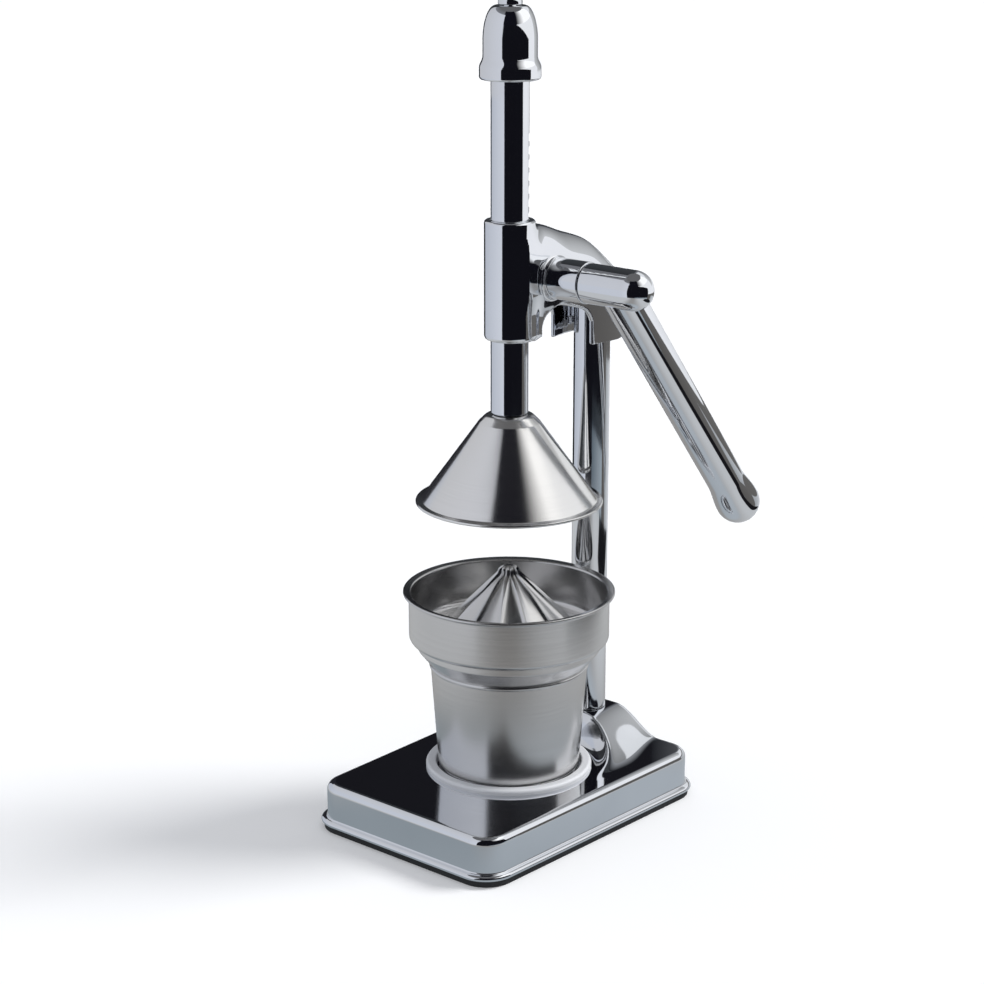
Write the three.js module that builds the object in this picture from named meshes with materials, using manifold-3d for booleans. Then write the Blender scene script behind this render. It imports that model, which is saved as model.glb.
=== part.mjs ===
// Lever citrus juice press: a hand press with a rack and pinion head on a chromed stand.
// Millimetres, +Z up, +Y to the rear. The origin lies on the table under the ram's axis.
import * as THREE from 'three';
import { mergeVertices } from 'three/addons/utils/BufferGeometryUtils.js';
import Module from 'manifold-3d';

const wasm = await Module();
wasm.setup();

// Clearances
const seatGap = 0.3; // between two pieces that rest against each other
const slideGap = 0.3; // round anything that slides, turns or plugs into a bore
const overrun = 2; // how far each cut runs past the face it opens
const weldReach = 1e-4; // corners closer than this are one

// Fineness of round surfaces
const wideSides = 32;
const midSides = 20;
const smallSides = 10;
const hexSides = 6;
const bevelSteps = 1; // across an edge that is only just broken
const edgeSteps = 3; // round a soft edge
const domeSteps = 4; // over a low dome
const ballSteps = 6; // over a high dome or a round end

// Base pad and its screws
const padThickness = 3;
const padInset = 1.2; // from the edge of the base's lip to the pad's edge
const padScrewRadius = 1.6;
const padScrewHead = 3.4;
const padScrewSink = 0.6; // how deep the screw heads lie below the pad's face
const padScrewLength = 12;
const padScrewInset = 14; // from the walls of the base to the screws
const screwBossRadius = 4;

// Base shell
const baseFront = 81.3; // front wall ahead of the cup's centre
const baseBehindColumn = 15; // rear wall behind the column's axis
const baseFrontHalf = 57;
const baseFlare = 3; // how much wider each side of the base is at the rear
const baseCorner = 13;
const baseHeight = 20.9;
const baseWall = 3;
const deckRound = 4;
const lipWidth = 3.2;
const lipHeight = 3.6;
const moundRise = 13.1;
const moundFlatSide = 15;
const moundFlatFront = 10.8;
const moundSide = 40;
const moundFront = 21.2;
const moundRear = 34;
const spigotHeight = 4;

// Cup ring on the base
const ringHeight = 3.2;
const ringWidth = 5.2;
const ringGroove = 1;

// Column and the tie rod inside it
const columnOffset = 64; // from the ram's axis to the column's axis
const columnRadius = 9.2;
const columnWall = 1.6;
const columnLength = 222.4;
const rodRadius = 4;
const rodBite = 9; // how far the rod screws into the head
const rodTail = 2.5; // how far the rod stands out below its nut
const washerThickness = 1.6;
const washerRadius = 8.5;
const nutThickness = 6.5;
const nutRadius = 7.4; // across the corners, halved

// Head casting
const socketDepth = 23.9; // from the shell's lower edge to the top of the column
const shellWall = 2;
const shellSideGap = 4.1; // open space between the column and the shell
const doorRise = 19.6; // from the shell's lower edge to the top of its open front
const doorRound = 6.5;
const pinionRise = 37.9; // from the shell's lower edge to the pinion's axis
const sleeveBelow = 28.8; // from the pinion's axis to the sleeve's lower end
const sleeveAbove = 29.7;
const sleeveWall = 2.9;
const sleeveRound = 2.4; // round of the sleeve's lower edge
const edgeRound = 1.4;
const waistHalf = 10.6;
const hoodDrop = 3; // from the sleeve's top down to the hood where it leaves the sleeve
const hoodFall = 21; // from there down to the hood above the column
const rearFall = 19.4; // from there on down along the round rear end
const domeRise = 11.6; // from the shell's lower edge to the foot of the hood's dome over the column
const webLength = 1.5; // from the back of the sleeve to the rear edge of the web's foot
const archRise = 13.8; // from the sleeve's lower end to the crown of the arch behind it
const hollowFront = 32; // from the ram's axis to the front end of the hollow round the column
const chamberGap = 0.8;
const chamberSide = 0.5;
const bossRadius = 10.3;
const bossReach = 14.3;
const bossEdge = 0.5;

// Ram with its rack
const ramRadius = 9.2;
const ramLength = 183.6;
const ramBelowSleeve = 36.8;
const ramEdge = 0.8;
const studRadius = 3;
const studLength = 15.4;
const gearModule = 2;
const pinionTeeth = 14;
const addendumShare = 0.8;
const dedendumShare = 1.05;
const pressureAngle = THREE.MathUtils.degToRad(20);
const backlash = 0.3;
const rackFlat = 1.6; // from the back of the round ram to the tips of its teeth
const leverTravel = THREE.MathUtils.degToRad(254);
const pinionWidth = 12;

// Bell cap and its nut
const bellBore = 22; // depth of the bell's bore over the ram
const bellHeight = 34.3;
const bellRadius = 13;
const skirtRadius = 14.7;
const skirtHeight = 5.4;
const skirtBlend = 5.4;
const bellTopRadius = 7.8;
const bellShoulder = 13.6;
const bellWall = 2;
const bellDish = 0.7;
const capNutRadius = 5.8;
const capNutHeight = 6.8;
const capNutFoot = 1.6;

// Press cone and its screw
const coneHeight = 44.9;
const coneRadius = 44;
const coneBrim = 2.3;
const brimThickness = 1.5;
const coneShoulder = 14.2;
const coneTopFlat = 10;
const coneTopRound = 4;
const coneWall = 1.2;
const coneScrewRadius = 3;
const coneScrewBite = 13;
const coneScrewHead = 5.4;
const coneScrewHeight = 3.2;
const coneWasherRadius = 7.5;
const coneWasherThickness = 1.2;

// Pinion shaft, bushes and end screw
const shaftRadius = 5;
const spigotRadius = 7;
const collarRadius = 10.2;
const collarLength = 18.1;
const collarEdge = 0.5;
const flangeLength = 2.4;
const keySize = 3;
const keyLength = 10;
const endWasherRadius = 7.6;
const endWasherThickness = 1.4;
const endScrewRadius = 2.5;
const endScrewBite = 11;
const endScrewHead = 5.2;
const endScrewHeight = 3.4;

// Lever
const leverAngle = THREE.MathUtils.degToRad(51); // below the horizontal, towards the rear
const hubRadius = 9.8;
const hubLength = 36.6;
const hubBore = 25.5; // depth of the hub's bore over the shaft
const hubEdge = 0.8;
const armOffset = 17; // from the hub's inner face to the arm's axis
const armRadius = 9.7;
const armLength = 165.6; // from the shaft's axis to the centre of the round end
const armStart = 4;
const bulbRadius = 11.5;
const bulbBlend = 19;
const tenonRadius = 5;
const tenonGap = 0.8; // between the arm's tenon and the shaft
const setScrewRadius = 2.2;
const setScrewOffset = 3.6;
const setScrewSink = 0.8;

// Tumbler
const tumblerFoot = 35.6; // outer radius where the side wall starts
const tumblerFootRound = 3.2;
const tumblerNeck = 39.4;
const tumblerHeight = 67.4;
const tumblerWall = 1;
const funnelDrop = 13.8; // from the mouth down to the neck under it
const beadRadius = 40.2;
const beadHeight = 2.2;
const tumblerMouth = 46;
const tumblerCollar = 3.6;

// Strainer bowl, reamer and their screw
const bowlRadius = 50.2;
const bowlRim = 53;
const bowlRimHeight = 2;
const rimFlare = 3.4; // from the rim's top down to where the wall starts to flare into it
const rimDip = 0.3; // from the rim's top down to its inner edge
const bowlHeight = 25.7; // from the seat on the tumbler to the rim
const bowlRound = 5.2;
const bowlWall = 1.2;
const bowlFloorRise = 2; // from the seat to the upper face of the floor
const bowlSkirt = 3.2; // how far the skirt hangs into the tumbler's mouth
const slotCount = 30;
const slotWidth = 1.6;
const slotLength = 7.6;
const slotInset = 2.6; // from the bowl's wall to the outer ends of the slots
const reamerRadius = 36;
const reamerHeight = 36;
const reamerTipRadius = 6;
const reamerFoot = 1.8;
const reamerWall = 2.4;
const reamerRibs = 12;
const ribDepth = 2.6;
const reamerBoss = 5;
const reamerScrewRadius = 2.2;
const reamerScrewBite = 14;
const reamerScrewHead = 4.4;
const reamerScrewHeight = 2.4;
const reamerWasherRadius = 6.5;
const reamerWasherThickness = 1;

// Heights that follow from the sizes above
const baseBottom = padThickness + seatGap;
const deckTop = baseBottom + baseHeight;
const moundTop = deckTop + moundRise;
const baseRear = columnOffset + baseBehindColumn;
const baseRearHalf = baseFrontHalf + baseFlare;
const columnBottom = moundTop + seatGap;
const columnTop = columnBottom + columnLength;
const shellBottom = columnTop + seatGap - socketDepth;
const pinionZ = shellBottom + pinionRise;
const sleeveBottom = pinionZ - sleeveBelow;
const sleeveTop = pinionZ + sleeveAbove;
const sleeveBore = ramRadius + slideGap;
const sleeveRadius = sleeveBore + sleeveWall;
const shellInner = columnRadius + shellSideGap;
const shellOuter = shellInner + shellWall;
const shellFront = columnOffset - shellOuter - edgeRound;
const domeFoot = shellBottom + domeRise;
const crestEnd = sleeveTop - hoodDrop - hoodFall;
const ramBottom = sleeveBottom - ramBelowSleeve;
const ramTop = ramBottom + ramLength;
const coneTop = ramBottom - seatGap;
const coneBottom = coneTop - coneHeight;
const bellBottom = ramTop + seatGap - bellBore;
const bellTop = bellBottom + bellHeight;
const pitchRadius = gearModule * pinionTeeth / 2;
const addendum = addendumShare * gearModule;
const dedendum = dedendumShare * gearModule;
const rackTip = ramRadius - rackFlat;
const rackPitchLine = rackTip - addendum;
const pinionY = rackPitchLine + pitchRadius;
const rackPitch = Math.PI * gearModule;
const stroke = pitchRadius * leverTravel;
const bushInner = pinionWidth / 2 + chamberSide + slideGap;
const collarStart = bossReach + seatGap;
const hubStart = collarStart + collarLength + seatGap;
const leftFlangeEnd = bossReach + seatGap + flangeLength;
const shaftLeft = leftFlangeEnd;
const shaftRight = hubStart + hubBore - seatGap;
const armX = hubStart + armOffset;
const tumblerBottom = deckTop + seatGap;
const tumblerTop = tumblerBottom + tumblerHeight;
const bowlSeat = tumblerTop + seatGap;
const bowlFloor = bowlSeat + bowlFloorRise;
const bowlUnder = bowlFloor - bowlWall;
const tumblerNeckZ = tumblerTop - funnelDrop;
const funnelBottom = tumblerNeckZ + beadHeight;
const funnelTop = tumblerTop - tumblerCollar;
const reamerBottom = bowlFloor + seatGap;
const ringInner = tumblerFoot + slideGap + tumblerWall;
const ringOuter = ringInner + ringWidth;

// Finishes
const chromeFinish = { color: 0xd9dce2, roughness: 0.08, metalness: 1 };
const satinFinish = { color: 0xbfc2c6, roughness: 0.32, metalness: 1 };
const steelFinish = { color: 0x9a9da1, roughness: 0.4, metalness: 1 };
const rubberFinish = { color: 0x141415, roughness: 0.8, metalness: 0 };
const ringFinish = { color: 0xc9ccd2, roughness: 0.4, metalness: 0 };

// Solids and shapes

const axisX = new THREE.Matrix4().makeBasis(
  new THREE.Vector3(0, 1, 0), new THREE.Vector3(0, 0, 1), new THREE.Vector3(1, 0, 0));

function solidOf(geometry) {
  const bare = new THREE.BufferGeometry();
  bare.setAttribute('position', geometry.getAttribute('position').clone());
  bare.setIndex(geometry.index ? geometry.index.clone() : null);
  const merged = mergeVertices(bare, weldReach);
  const position = merged.getAttribute('position').array;
  const index = merged.index.array;
  const corners = [];
  for (let i = 0; i < index.length; i += 3) {
    const [a, b, c] = [index[i], index[i + 1], index[i + 2]];
    if (a !== b && b !== c && c !== a) corners.push(a, b, c);
  }
  if (signedVolume(position, corners) < 0) corners.reverse();
  const mesh = new wasm.Mesh({
    numProp: 3,
    vertProperties: new Float32Array(position),
    triVerts: new Uint32Array(corners),
  });
  return new wasm.Manifold(mesh);
}

function signedVolume(position, corners) {
  const [a, b, c] = [new THREE.Vector3(), new THREE.Vector3(), new THREE.Vector3()];
  let sum = 0;
  for (let i = 0; i < corners.length; i += 3) {
    a.fromArray(position, corners[i] * 3);
    b.fromArray(position, corners[i + 1] * 3);
    c.fromArray(position, corners[i + 2] * 3);
    sum += a.dot(b.cross(c));
  }
  return sum;
}

function geometryOf(solid) {
  const mesh = solid.getMesh();
  const geometry = new THREE.BufferGeometry();
  geometry.setAttribute('position', new THREE.Float32BufferAttribute(mesh.vertProperties, 3));
  geometry.setIndex(new THREE.BufferAttribute(new Uint32Array(mesh.triVerts), 1));
  geometry.computeVertexNormals();
  return geometry;
}

function joined(first, ...others) {
  return others.reduce((sum, other) => sum.add(other), first);
}

function cutBy(body, ...cutters) {
  return cutters.reduce((rest, cutter) => rest.subtract(cutter), body);
}

// A solid of revolution about Z, from [radius, height] pairs that start and end on the axis
// or come back to where they began
function turned(profile, sides) {
  const points = profile.map(([radius, height]) => new THREE.Vector2(radius, height));
  const geometry = new THREE.LatheGeometry(points, sides);
  geometry.rotateX(Math.PI / 2);
  return solidOf(geometry);
}

// The same about an axis along X, through the pinion's axis
function turnedOnShaft(profile, sides) {
  return atShaft(turned(profile, sides));
}

function moved(solid, matrix) {
  return solidOf(geometryOf(solid).applyMatrix4(matrix));
}

function atShaft(solid) {
  const place = new THREE.Matrix4().makeTranslation(0, pinionY, pinionZ);
  return moved(solid, place.multiply(axisX));
}

function shifted(solid, x, y, z) {
  return moved(solid, new THREE.Matrix4().makeTranslation(x, y, z));
}

function rod(radius, bottom, top, sides) {
  return turned([[0, bottom], [radius, bottom], [radius, top], [0, top]], sides);
}

function tube(inner, outer, bottom, top, sides) {
  return turned([[inner, bottom], [outer, bottom], [outer, top], [inner, top], [inner, bottom]], sides);
}

function roundedRod(radius, bottom, top, lowerRound, upperRound, sides) {
  const lower = arc(radius - lowerRound, bottom + lowerRound, lowerRound, -Math.PI / 2, 0, edgeSteps);
  const upper = arc(radius - upperRound, top - upperRound, upperRound, 0, Math.PI / 2, edgeSteps);
  return turned([[0, bottom], ...lower, ...upper, [0, top]], sides);
}

function block(x0, x1, y0, y1, z0, z1) {
  const geometry = new THREE.BoxGeometry(x1 - x0, y1 - y0, z1 - z0);
  geometry.translate((x0 + x1) / 2, (y0 + y1) / 2, (z0 + z1) / 2);
  return solidOf(geometry);
}

// A straight prism from an outline, along Z
function prism(outline, bottom, top) {
  const shape = new THREE.Shape(outline.map(([x, y]) => new THREE.Vector2(x, y)));
  const geometry = new THREE.ExtrudeGeometry(shape, { depth: top - bottom, bevelEnabled: false });
  geometry.translate(0, 0, bottom);
  return solidOf(geometry);
}

// A prism along X from an outline of [y, z] pairs
function sidePrism(outline, left, right) {
  return moved(prism(outline, left, right), axisX);
}

function arc(centreX, centreY, radius, from, to, steps) {
  return ellipseArc(centreX, centreY, radius, radius, from, to, steps);
}

function ellipseArc(centreX, centreY, radiusX, radiusY, from, to, steps) {
  const points = [];
  for (let i = 0; i <= steps; i++) {
    const angle = from + (to - from) * i / steps;
    points.push([centreX + radiusX * Math.cos(angle), centreY + radiusY * Math.sin(angle)]);
  }
  return points;
}

function smooth(share) {
  const t = THREE.MathUtils.clamp(share, 0, 1);
  return t * t * (3 - 2 * t);
}

// A skin over rings of equal count: the last ring joins the first, or both ends are closed
function skinned(rings, closedEnds) {
  const count = rings[0].length;
  const positions = rings.flat(2);
  const index = [];
  const last = closedEnds ? rings.length - 1 : rings.length;
  for (let r = 0; r < last; r++) {
    const next = (r + 1) % rings.length;
    for (let i = 0; i < count; i++) {
      const j = (i + 1) % count;
      index.push(r * count + i, r * count + j, next * count + j);
      index.push(r * count + i, next * count + j, next * count + i);
    }
  }
  if (closedEnds) {
    closeEnd(rings[0], 0, positions, index, true);
    closeEnd(rings[last], last * count, positions, index, false);
  }
  const geometry = new THREE.BufferGeometry();
  geometry.setAttribute('position', new THREE.Float32BufferAttribute(positions, 3));
  geometry.setIndex(index);
  return solidOf(geometry);
}

function closeEnd(ring, start, positions, index, reversed) {
  const middle = [0, 1, 2].map((k) => ring.reduce((sum, point) => sum + point[k], 0) / ring.length);
  const centre = positions.length / 3;
  positions.push(...middle);
  for (let i = 0; i < ring.length; i++) {
    const j = (i + 1) % ring.length;
    if (reversed) index.push(centre, start + j, start + i);
    else index.push(centre, start + i, start + j);
  }
}

// Base outline: a rounded trapezoid, a little wider at the rear

const cornerSteps = 4;
const sideEdgeSteps = 4;
const frontEdgeSteps = 3;
const rearEdgeSteps = 6;

function baseOutline(inset) {
  const length = baseFront + baseRear;
  const slant = Math.atan2(baseRearHalf - baseFrontHalf, length);
  const sideAt = (y) => baseFrontHalf + (baseRearHalf - baseFrontHalf) * (y + baseFront) / length;
  const frontY = -baseFront + baseCorner;
  const rearY = baseRear - baseCorner;
  const inward = baseCorner / Math.cos(slant);
  const frontX = sideAt(frontY) - inward;
  const rearX = sideAt(rearY) - inward;
  const radius = baseCorner - inset;
  const quarter = Math.PI / 2;
  const corners = [
    arc(frontX, frontY, radius, -quarter, -slant, cornerSteps),
    arc(rearX, rearY, radius, -slant, quarter, cornerSteps),
    arc(-rearX, rearY, radius, quarter, 2 * quarter + slant, cornerSteps),
    arc(-frontX, frontY, radius, 2 * quarter + slant, 3 * quarter, cornerSteps),
  ];
  const edges = [sideEdgeSteps, rearEdgeSteps, sideEdgeSteps, frontEdgeSteps];
  const points = [];
  corners.forEach((cornerPoints, i) => {
    points.push(...cornerPoints);
    const from = cornerPoints[cornerSteps];
    const to = corners[(i + 1) % corners.length][0];
    for (let k = 1; k < edges[i]; k++) {
      const share = k / edges[i];
      points.push([from[0] + (to[0] - from[0]) * share, from[1] + (to[1] - from[1]) * share]);
    }
  });
  return points;
}

// Height of the mound that carries the column, above the flat deck
function moundAt(x, y) {
  const dx = x;
  const dy = y - columnOffset;
  const distance = Math.hypot(dx, dy);
  if (distance < moundFlatFront) return moundRise;
  const flatY = dy < 0 ? moundFlatFront : moundFlatSide;
  const flankY = dy < 0 ? moundFront : moundRear;
  const flat = distance / Math.hypot(dx / moundFlatSide, dy / flatY);
  const flank = distance / Math.hypot(dx / moundSide, dy / flankY);
  return moundRise * (1 - smooth((distance - flat) / (flank - flat)));
}

function flankEnd(dx, dy) {
  const distance = Math.hypot(dx, dy);
  const flankY = dy < 0 ? moundFront : moundRear;
  return distance / Math.hypot(dx / moundSide, dy / flankY);
}

const topFlatSteps = 2;
const topFlankSteps = 6;
const underFlatSteps = 1;
const underFlankSteps = 3;
const flankShare = 0.8; // the flank's rings end at the latest at this share of the way to the edge

// Rings from an outline's points in to a circle round the column, at the height of a face
function deckRings(outline, innerRadius, heightAt, flatSteps, flankSteps) {
  const rings = [];
  const spokes = outline.map(([x, y]) => {
    const far = Math.hypot(x, y - columnOffset);
    const [ux, uy] = [x / far, (y - columnOffset) / far];
    const knee = Math.min(flankEnd(ux * far, uy * far), far * flankShare);
    return { ux, uy, far, knee };
  });
  const ringAt = (radiusOf) => spokes.map((spoke) => {
    const radius = radiusOf(spoke);
    const x = spoke.ux * radius;
    const y = columnOffset + spoke.uy * radius;
    return [x, y, heightAt(x, y)];
  });
  for (let i = 1; i <= flatSteps; i++) {
    rings.push(ringAt(({ far, knee }) => far + (knee - far) * i / flatSteps));
  }
  for (let i = 1; i <= flankSteps; i++) {
    rings.push(ringAt(({ knee }) => knee + (innerRadius - knee) * i / flankSteps));
  }
  return rings;
}

function flatRing(ring, height) {
  return ring.map(([x, y]) => [x, y, height]);
}

function baseShell() {
  const topFace = (x, y) => deckTop + moundAt(x, y);
  const underFace = (x, y) => topFace(x, y) - baseWall;
  const lipMiddle = baseBottom + lipHeight / 2;
  const lipCurve = ellipseArc(0, lipMiddle, lipWidth, lipHeight / 2, -Math.PI / 2, Math.PI / 2, domeSteps);
  const rings = lipCurve.map(([out, z]) => flatRing(baseOutline(-out), z));
  for (let i = 0; i <= edgeSteps; i++) {
    const angle = Math.PI / 2 * i / edgeSteps;
    const inset = deckRound * (1 - Math.cos(angle));
    const edge = baseOutline(deckRound);
    rings.push(baseOutline(inset).map(([x, y], k) => {
      const top = topFace(edge[k][0], edge[k][1]);
      return [x, y, top - deckRound * (1 - Math.sin(angle))];
    }));
  }
  rings.push(...deckRings(baseOutline(deckRound), rodRadius / 2, topFace, topFlatSteps, topFlankSteps));
  rings.push(...deckRings(baseOutline(baseWall), rodRadius / 2, underFace, underFlatSteps,
    underFlankSteps).reverse());
  rings.push(baseOutline(baseWall).map(([x, y]) => [x, y, underFace(x, y)]));
  rings.push(flatRing(baseOutline(baseWall), baseBottom));
  const bosses = padScrewPlaces().map(([x, y]) => {
    const top = deckTop - baseWall / 2;
    return shifted(rod(screwBossRadius, baseBottom, top, smallSides), x, y, 0);
  });
  const holes = padScrewPlaces().map(([x, y]) => {
    const top = padScrewSink + padScrewLength + seatGap;
    return shifted(rod(padScrewRadius + slideGap, baseBottom - overrun, top, smallSides), x, y, 0);
  });
  const groove = tube(ringInner - slideGap, ringOuter + slideGap, deckTop - ringGroove, deckTop + overrun,
    wideSides);
  const spigotTop = moundTop + spigotHeight;
  const spigot = onColumn(rod(columnRadius - columnWall - slideGap, moundTop - baseWall / 2, spigotTop, midSides));
  const rodHole = onColumn(rod(rodRadius + slideGap, deckTop, spigotTop + overrun, smallSides));
  return cutBy(joined(skinned(rings, false), spigot, ...bosses), ...holes, rodHole, groove);
}

function padScrewPlaces() {
  const frontX = baseFrontHalf - padScrewInset;
  const rearX = baseRearHalf - padScrewInset;
  const frontY = -baseFront + padScrewInset;
  const rearY = baseRear - padScrewInset;
  return [[-frontX, frontY], [frontX, frontY], [rearX, rearY], [-rearX, rearY]];
}

function basePad() {
  const plate = prism(baseOutline(padInset - lipWidth), 0, padThickness);
  const sinks = padScrewPlaces().map(([x, y]) => {
    const neck = padScrewRadius + slideGap;
    const mouth = padScrewHead + slideGap;
    const depth = padScrewSink + (mouth - neck);
    const profile = [[0, -overrun], [mouth, -overrun], [mouth, padScrewSink], [neck, depth],
      [neck, padThickness + overrun], [0, padThickness + overrun]];
    return shifted(turned(profile, smallSides), x, y, 0);
  });
  return cutBy(plate, ...sinks);
}

function padScrew([x, y]) {
  const headHeight = padScrewHead - padScrewRadius;
  const profile = [[0, padScrewSink], [padScrewHead, padScrewSink],
    [padScrewRadius, padScrewSink + headHeight], [padScrewRadius, padScrewSink + padScrewLength],
    [0, padScrewSink + padScrewLength]];
  return shifted(turned(profile, smallSides), x, y, 0);
}

function cupRing() {
  const bottom = deckTop - ringGroove + seatGap;
  const middle = (ringInner + ringOuter) / 2;
  const half = ringWidth / 2;
  const crown = ellipseArc(middle, deckTop + ringHeight - half, half, half, 0, Math.PI, domeSteps);
  return turned([[ringInner, bottom], [ringOuter, bottom], ...crown, [ringInner, bottom]], wideSides);
}

// Column, tie rod, washer and nut

function onColumn(solid) {
  return shifted(solid, 0, columnOffset, 0);
}

function columnTube() {
  return onColumn(tube(columnRadius - columnWall, columnRadius, columnBottom, columnTop, midSides));
}

const tieWasherTop = moundTop - baseWall - seatGap;
const tieNutTop = tieWasherTop - washerThickness - seatGap;

function tieRod() {
  return onColumn(rod(rodRadius, tieNutTop - nutThickness - rodTail, columnTop + rodBite, smallSides));
}

function tieWasher() {
  const hole = rodRadius + slideGap;
  return onColumn(tube(hole, washerRadius, tieWasherTop - washerThickness, tieWasherTop, smallSides));
}

function tieNut() {
  const hex = rod(nutRadius, tieNutTop - nutThickness, tieNutTop, hexSides);
  const hole = rod(rodRadius + slideGap, tieNutTop - nutThickness - overrun, tieNutTop + overrun, smallSides);
  return onColumn(cutBy(hex, hole));
}

// Head casting: sleeve, hood, cross boss and the open shell over the column

// Crest of the hood: distance behind the ram's axis and fall, as shares of the way to the column
const crestShares = [[0, 0], [0.29, 0.06], [0.55, 0.32], [0.8, 0.57], [0.92, 0.79], [1, 1]];

// Arch in the hood's underside: distance behind the web's foot and rise, as shares of the way
// to the shell and of the arch's rise
const archShares = [[0, 0], [0, 0.333], [0.039, 0.543], [0.096, 0.703], [0.198, 0.87], [0.266, 0.957],
  [0.392, 1], [0.632, 0.855], [0.841, 0.688], [0.943, 0.457], [0.994, 0.196]];

const hoodRoofSteps = 10;
const hoodSteps = 8;
const rearSteps = 6;
const rearEndShare = 0.995; // the last section stands this share of the way round the rear end
const hollowSteps = 4;
const hollowArcSteps = 14;

// Half the hood's width, which grows from the pinion to the column
function hoodHalf(y) {
  return waistHalf + (shellOuter - waistHalf) * hoodWidening(y);
}

function hoodWidening(y) {
  return smooth((y - pinionY) / (columnOffset - pinionY));
}

function hoodSection(y) {
  const crest = new THREE.SplineCurve(crestShares.map(([along, fall]) => new THREE.Vector2(
    along * columnOffset, sleeveTop - hoodDrop - fall * hoodFall)));
  const beyond = Math.max(0, y - columnOffset) / shellOuter;
  const roundness = Math.sqrt(Math.max(0, 1 - beyond * beyond));
  const top = y <= columnOffset ? heightOn(crest, y) : crestEnd - rearFall * beyond;
  // a half round at the waist that grows into the dome over the column
  const shoulder = waistHalf + (top - domeFoot - waistHalf) * hoodWidening(y);
  const half = hoodHalf(y) * roundness;
  const roof = ellipseArc(0, top - shoulder, half, shoulder * roundness, 0, Math.PI, hoodRoofSteps);
  const section = [[half, shellBottom], ...roof, [-half, shellBottom]];
  return section.map(([x, z]) => [x, y, z]);
}

const searchSteps = 40;

function heightOn(curve, along) {
  let low = 0;
  let high = 1;
  for (let i = 0; i < searchSteps; i++) {
    const middle = (low + high) / 2;
    if (curve.getPoint(middle).x < along) low = middle;
    else high = middle;
  }
  return curve.getPoint((low + high) / 2).y;
}

function hood() {
  const sections = [];
  for (let i = 0; i < hoodSteps; i++) sections.push(hoodSection(columnOffset * i / hoodSteps));
  for (let i = 0; i <= rearSteps; i++) {
    const turn = Math.PI / 2 * i / rearSteps;
    const reach = Math.min(Math.sin(turn), rearEndShare);
    sections.push(hoodSection(columnOffset + shellOuter * reach));
  }
  return skinned(sections, true);
}

// Everything below the hood, seen from the side: clear under the sleeve, then the arch behind it
function underHood() {
  const low = shellBottom - overrun;
  const webRear = sleeveRadius + webLength;
  const webFront = Math.sqrt(Math.max(0, sleeveRadius ** 2 - waistHalf ** 2));
  const span = shellFront - webRear;
  const arch = archShares.map(([along, rise]) => [webRear + along * span, sleeveBottom + rise * archRise]);
  const outline = [[-sleeveRadius, low], [shellFront, low], ...arch.reverse(), [webFront, sleeveBottom],
    [webFront, sleeveBottom + sleeveRound], [-sleeveRadius, sleeveBottom + sleeveRound]];
  const wide = shellOuter + overrun;
  return sidePrism(outline, -wide, wide);
}

// The hollow of the shell round the column, with the door in its front
function shellHollow() {
  const low = shellBottom - overrun;
  const doorTop = shellBottom + doorRise;
  const right = [];
  for (let i = 0; i < hollowSteps; i++) {
    const y = hollowFront + (columnOffset - hollowFront) * i / hollowSteps;
    right.push([hoodHalf(y) - shellWall, y]);
  }
  const left = right.map(([x, y]) => [-x, y]).reverse();
  const plan = [...right, ...arc(0, columnOffset, shellInner, 0, Math.PI, hollowArcSteps), ...left];
  const front = [[-shellInner, low], [shellInner, low],
    ...arc(shellInner - doorRound, doorTop - doorRound, doorRound, 0, Math.PI / 2, domeSteps),
    ...arc(doorRound - shellInner, doorTop - doorRound, doorRound, Math.PI / 2, Math.PI, domeSteps)];
  const upright = new THREE.Matrix4().makeRotationX(Math.PI / 2);
  const doorway = moved(prism(front, -baseRear - shellOuter, overrun), upright);
  return prism(plan, low, doorTop + overrun).intersect(doorway);
}

function headCasting() {
  const low = shellBottom - overrun;
  const sleeve = roundedRod(sleeveRadius, sleeveBottom, sleeveTop, sleeveRound, edgeRound, midSides);
  const boss = turnedOnShaft([[0, -bossReach], ...arc(bossRadius - bossEdge, -bossReach + bossEdge,
    bossEdge, -Math.PI / 2, 0, bevelSteps), ...arc(bossRadius - bossEdge, bossReach - bossEdge, bossEdge,
    0, Math.PI / 2, bevelSteps), [0, bossReach]], midSides);
  const outside = joined(cutBy(hood(), underHood()), sleeve, boss);

  const columnBore = onColumn(rod(columnRadius + slideGap, low, columnTop + seatGap, midSides));
  const rodBore = onColumn(rod(rodRadius + slideGap, columnTop, columnTop + rodBite + seatGap, smallSides));
  const ramBore = rod(sleeveBore, sleeveBottom - overrun, sleeveTop + overrun, midSides);

  // the pinion's chamber, open from below, and the hollow behind it
  const chamberHalf = pinionWidth / 2 + chamberSide;
  const chamberRadius = pitchRadius + addendum + chamberGap;
  const chamber = turnedOnShaft([[0, -chamberHalf], [chamberRadius, -chamberHalf],
    [chamberRadius, chamberHalf], [0, chamberHalf]], midSides);
  const chamberMouth = block(-chamberHalf, chamberHalf, sleeveRadius + slideGap,
    pinionY + chamberRadius - edgeRound, low, pinionZ);
  const rearHollow = block(-chamberHalf, chamberHalf, pinionY, shellFront - edgeRound,
    low, pinionZ - chamberGap);
  const shaftBore = turnedOnShaft([[0, -bossReach - overrun], [spigotRadius + slideGap, -bossReach - overrun],
    [spigotRadius + slideGap, bossReach + overrun], [0, bossReach + overrun]], midSides);
  return cutBy(outside, shellHollow(), columnBore, rodBore, ramBore, chamber, chamberMouth, rearHollow,
    shaftBore);
}

// Ram with rack teeth down its back

function toothGapHalf(height) {
  // half width of the space between rack teeth, at a height above the pitch line
  return rackPitch / 4 + backlash / 4 + height * Math.tan(pressureAngle);
}

const spareGapCount = 3; // spaces between teeth that lie past the ends of the stroke

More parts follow.
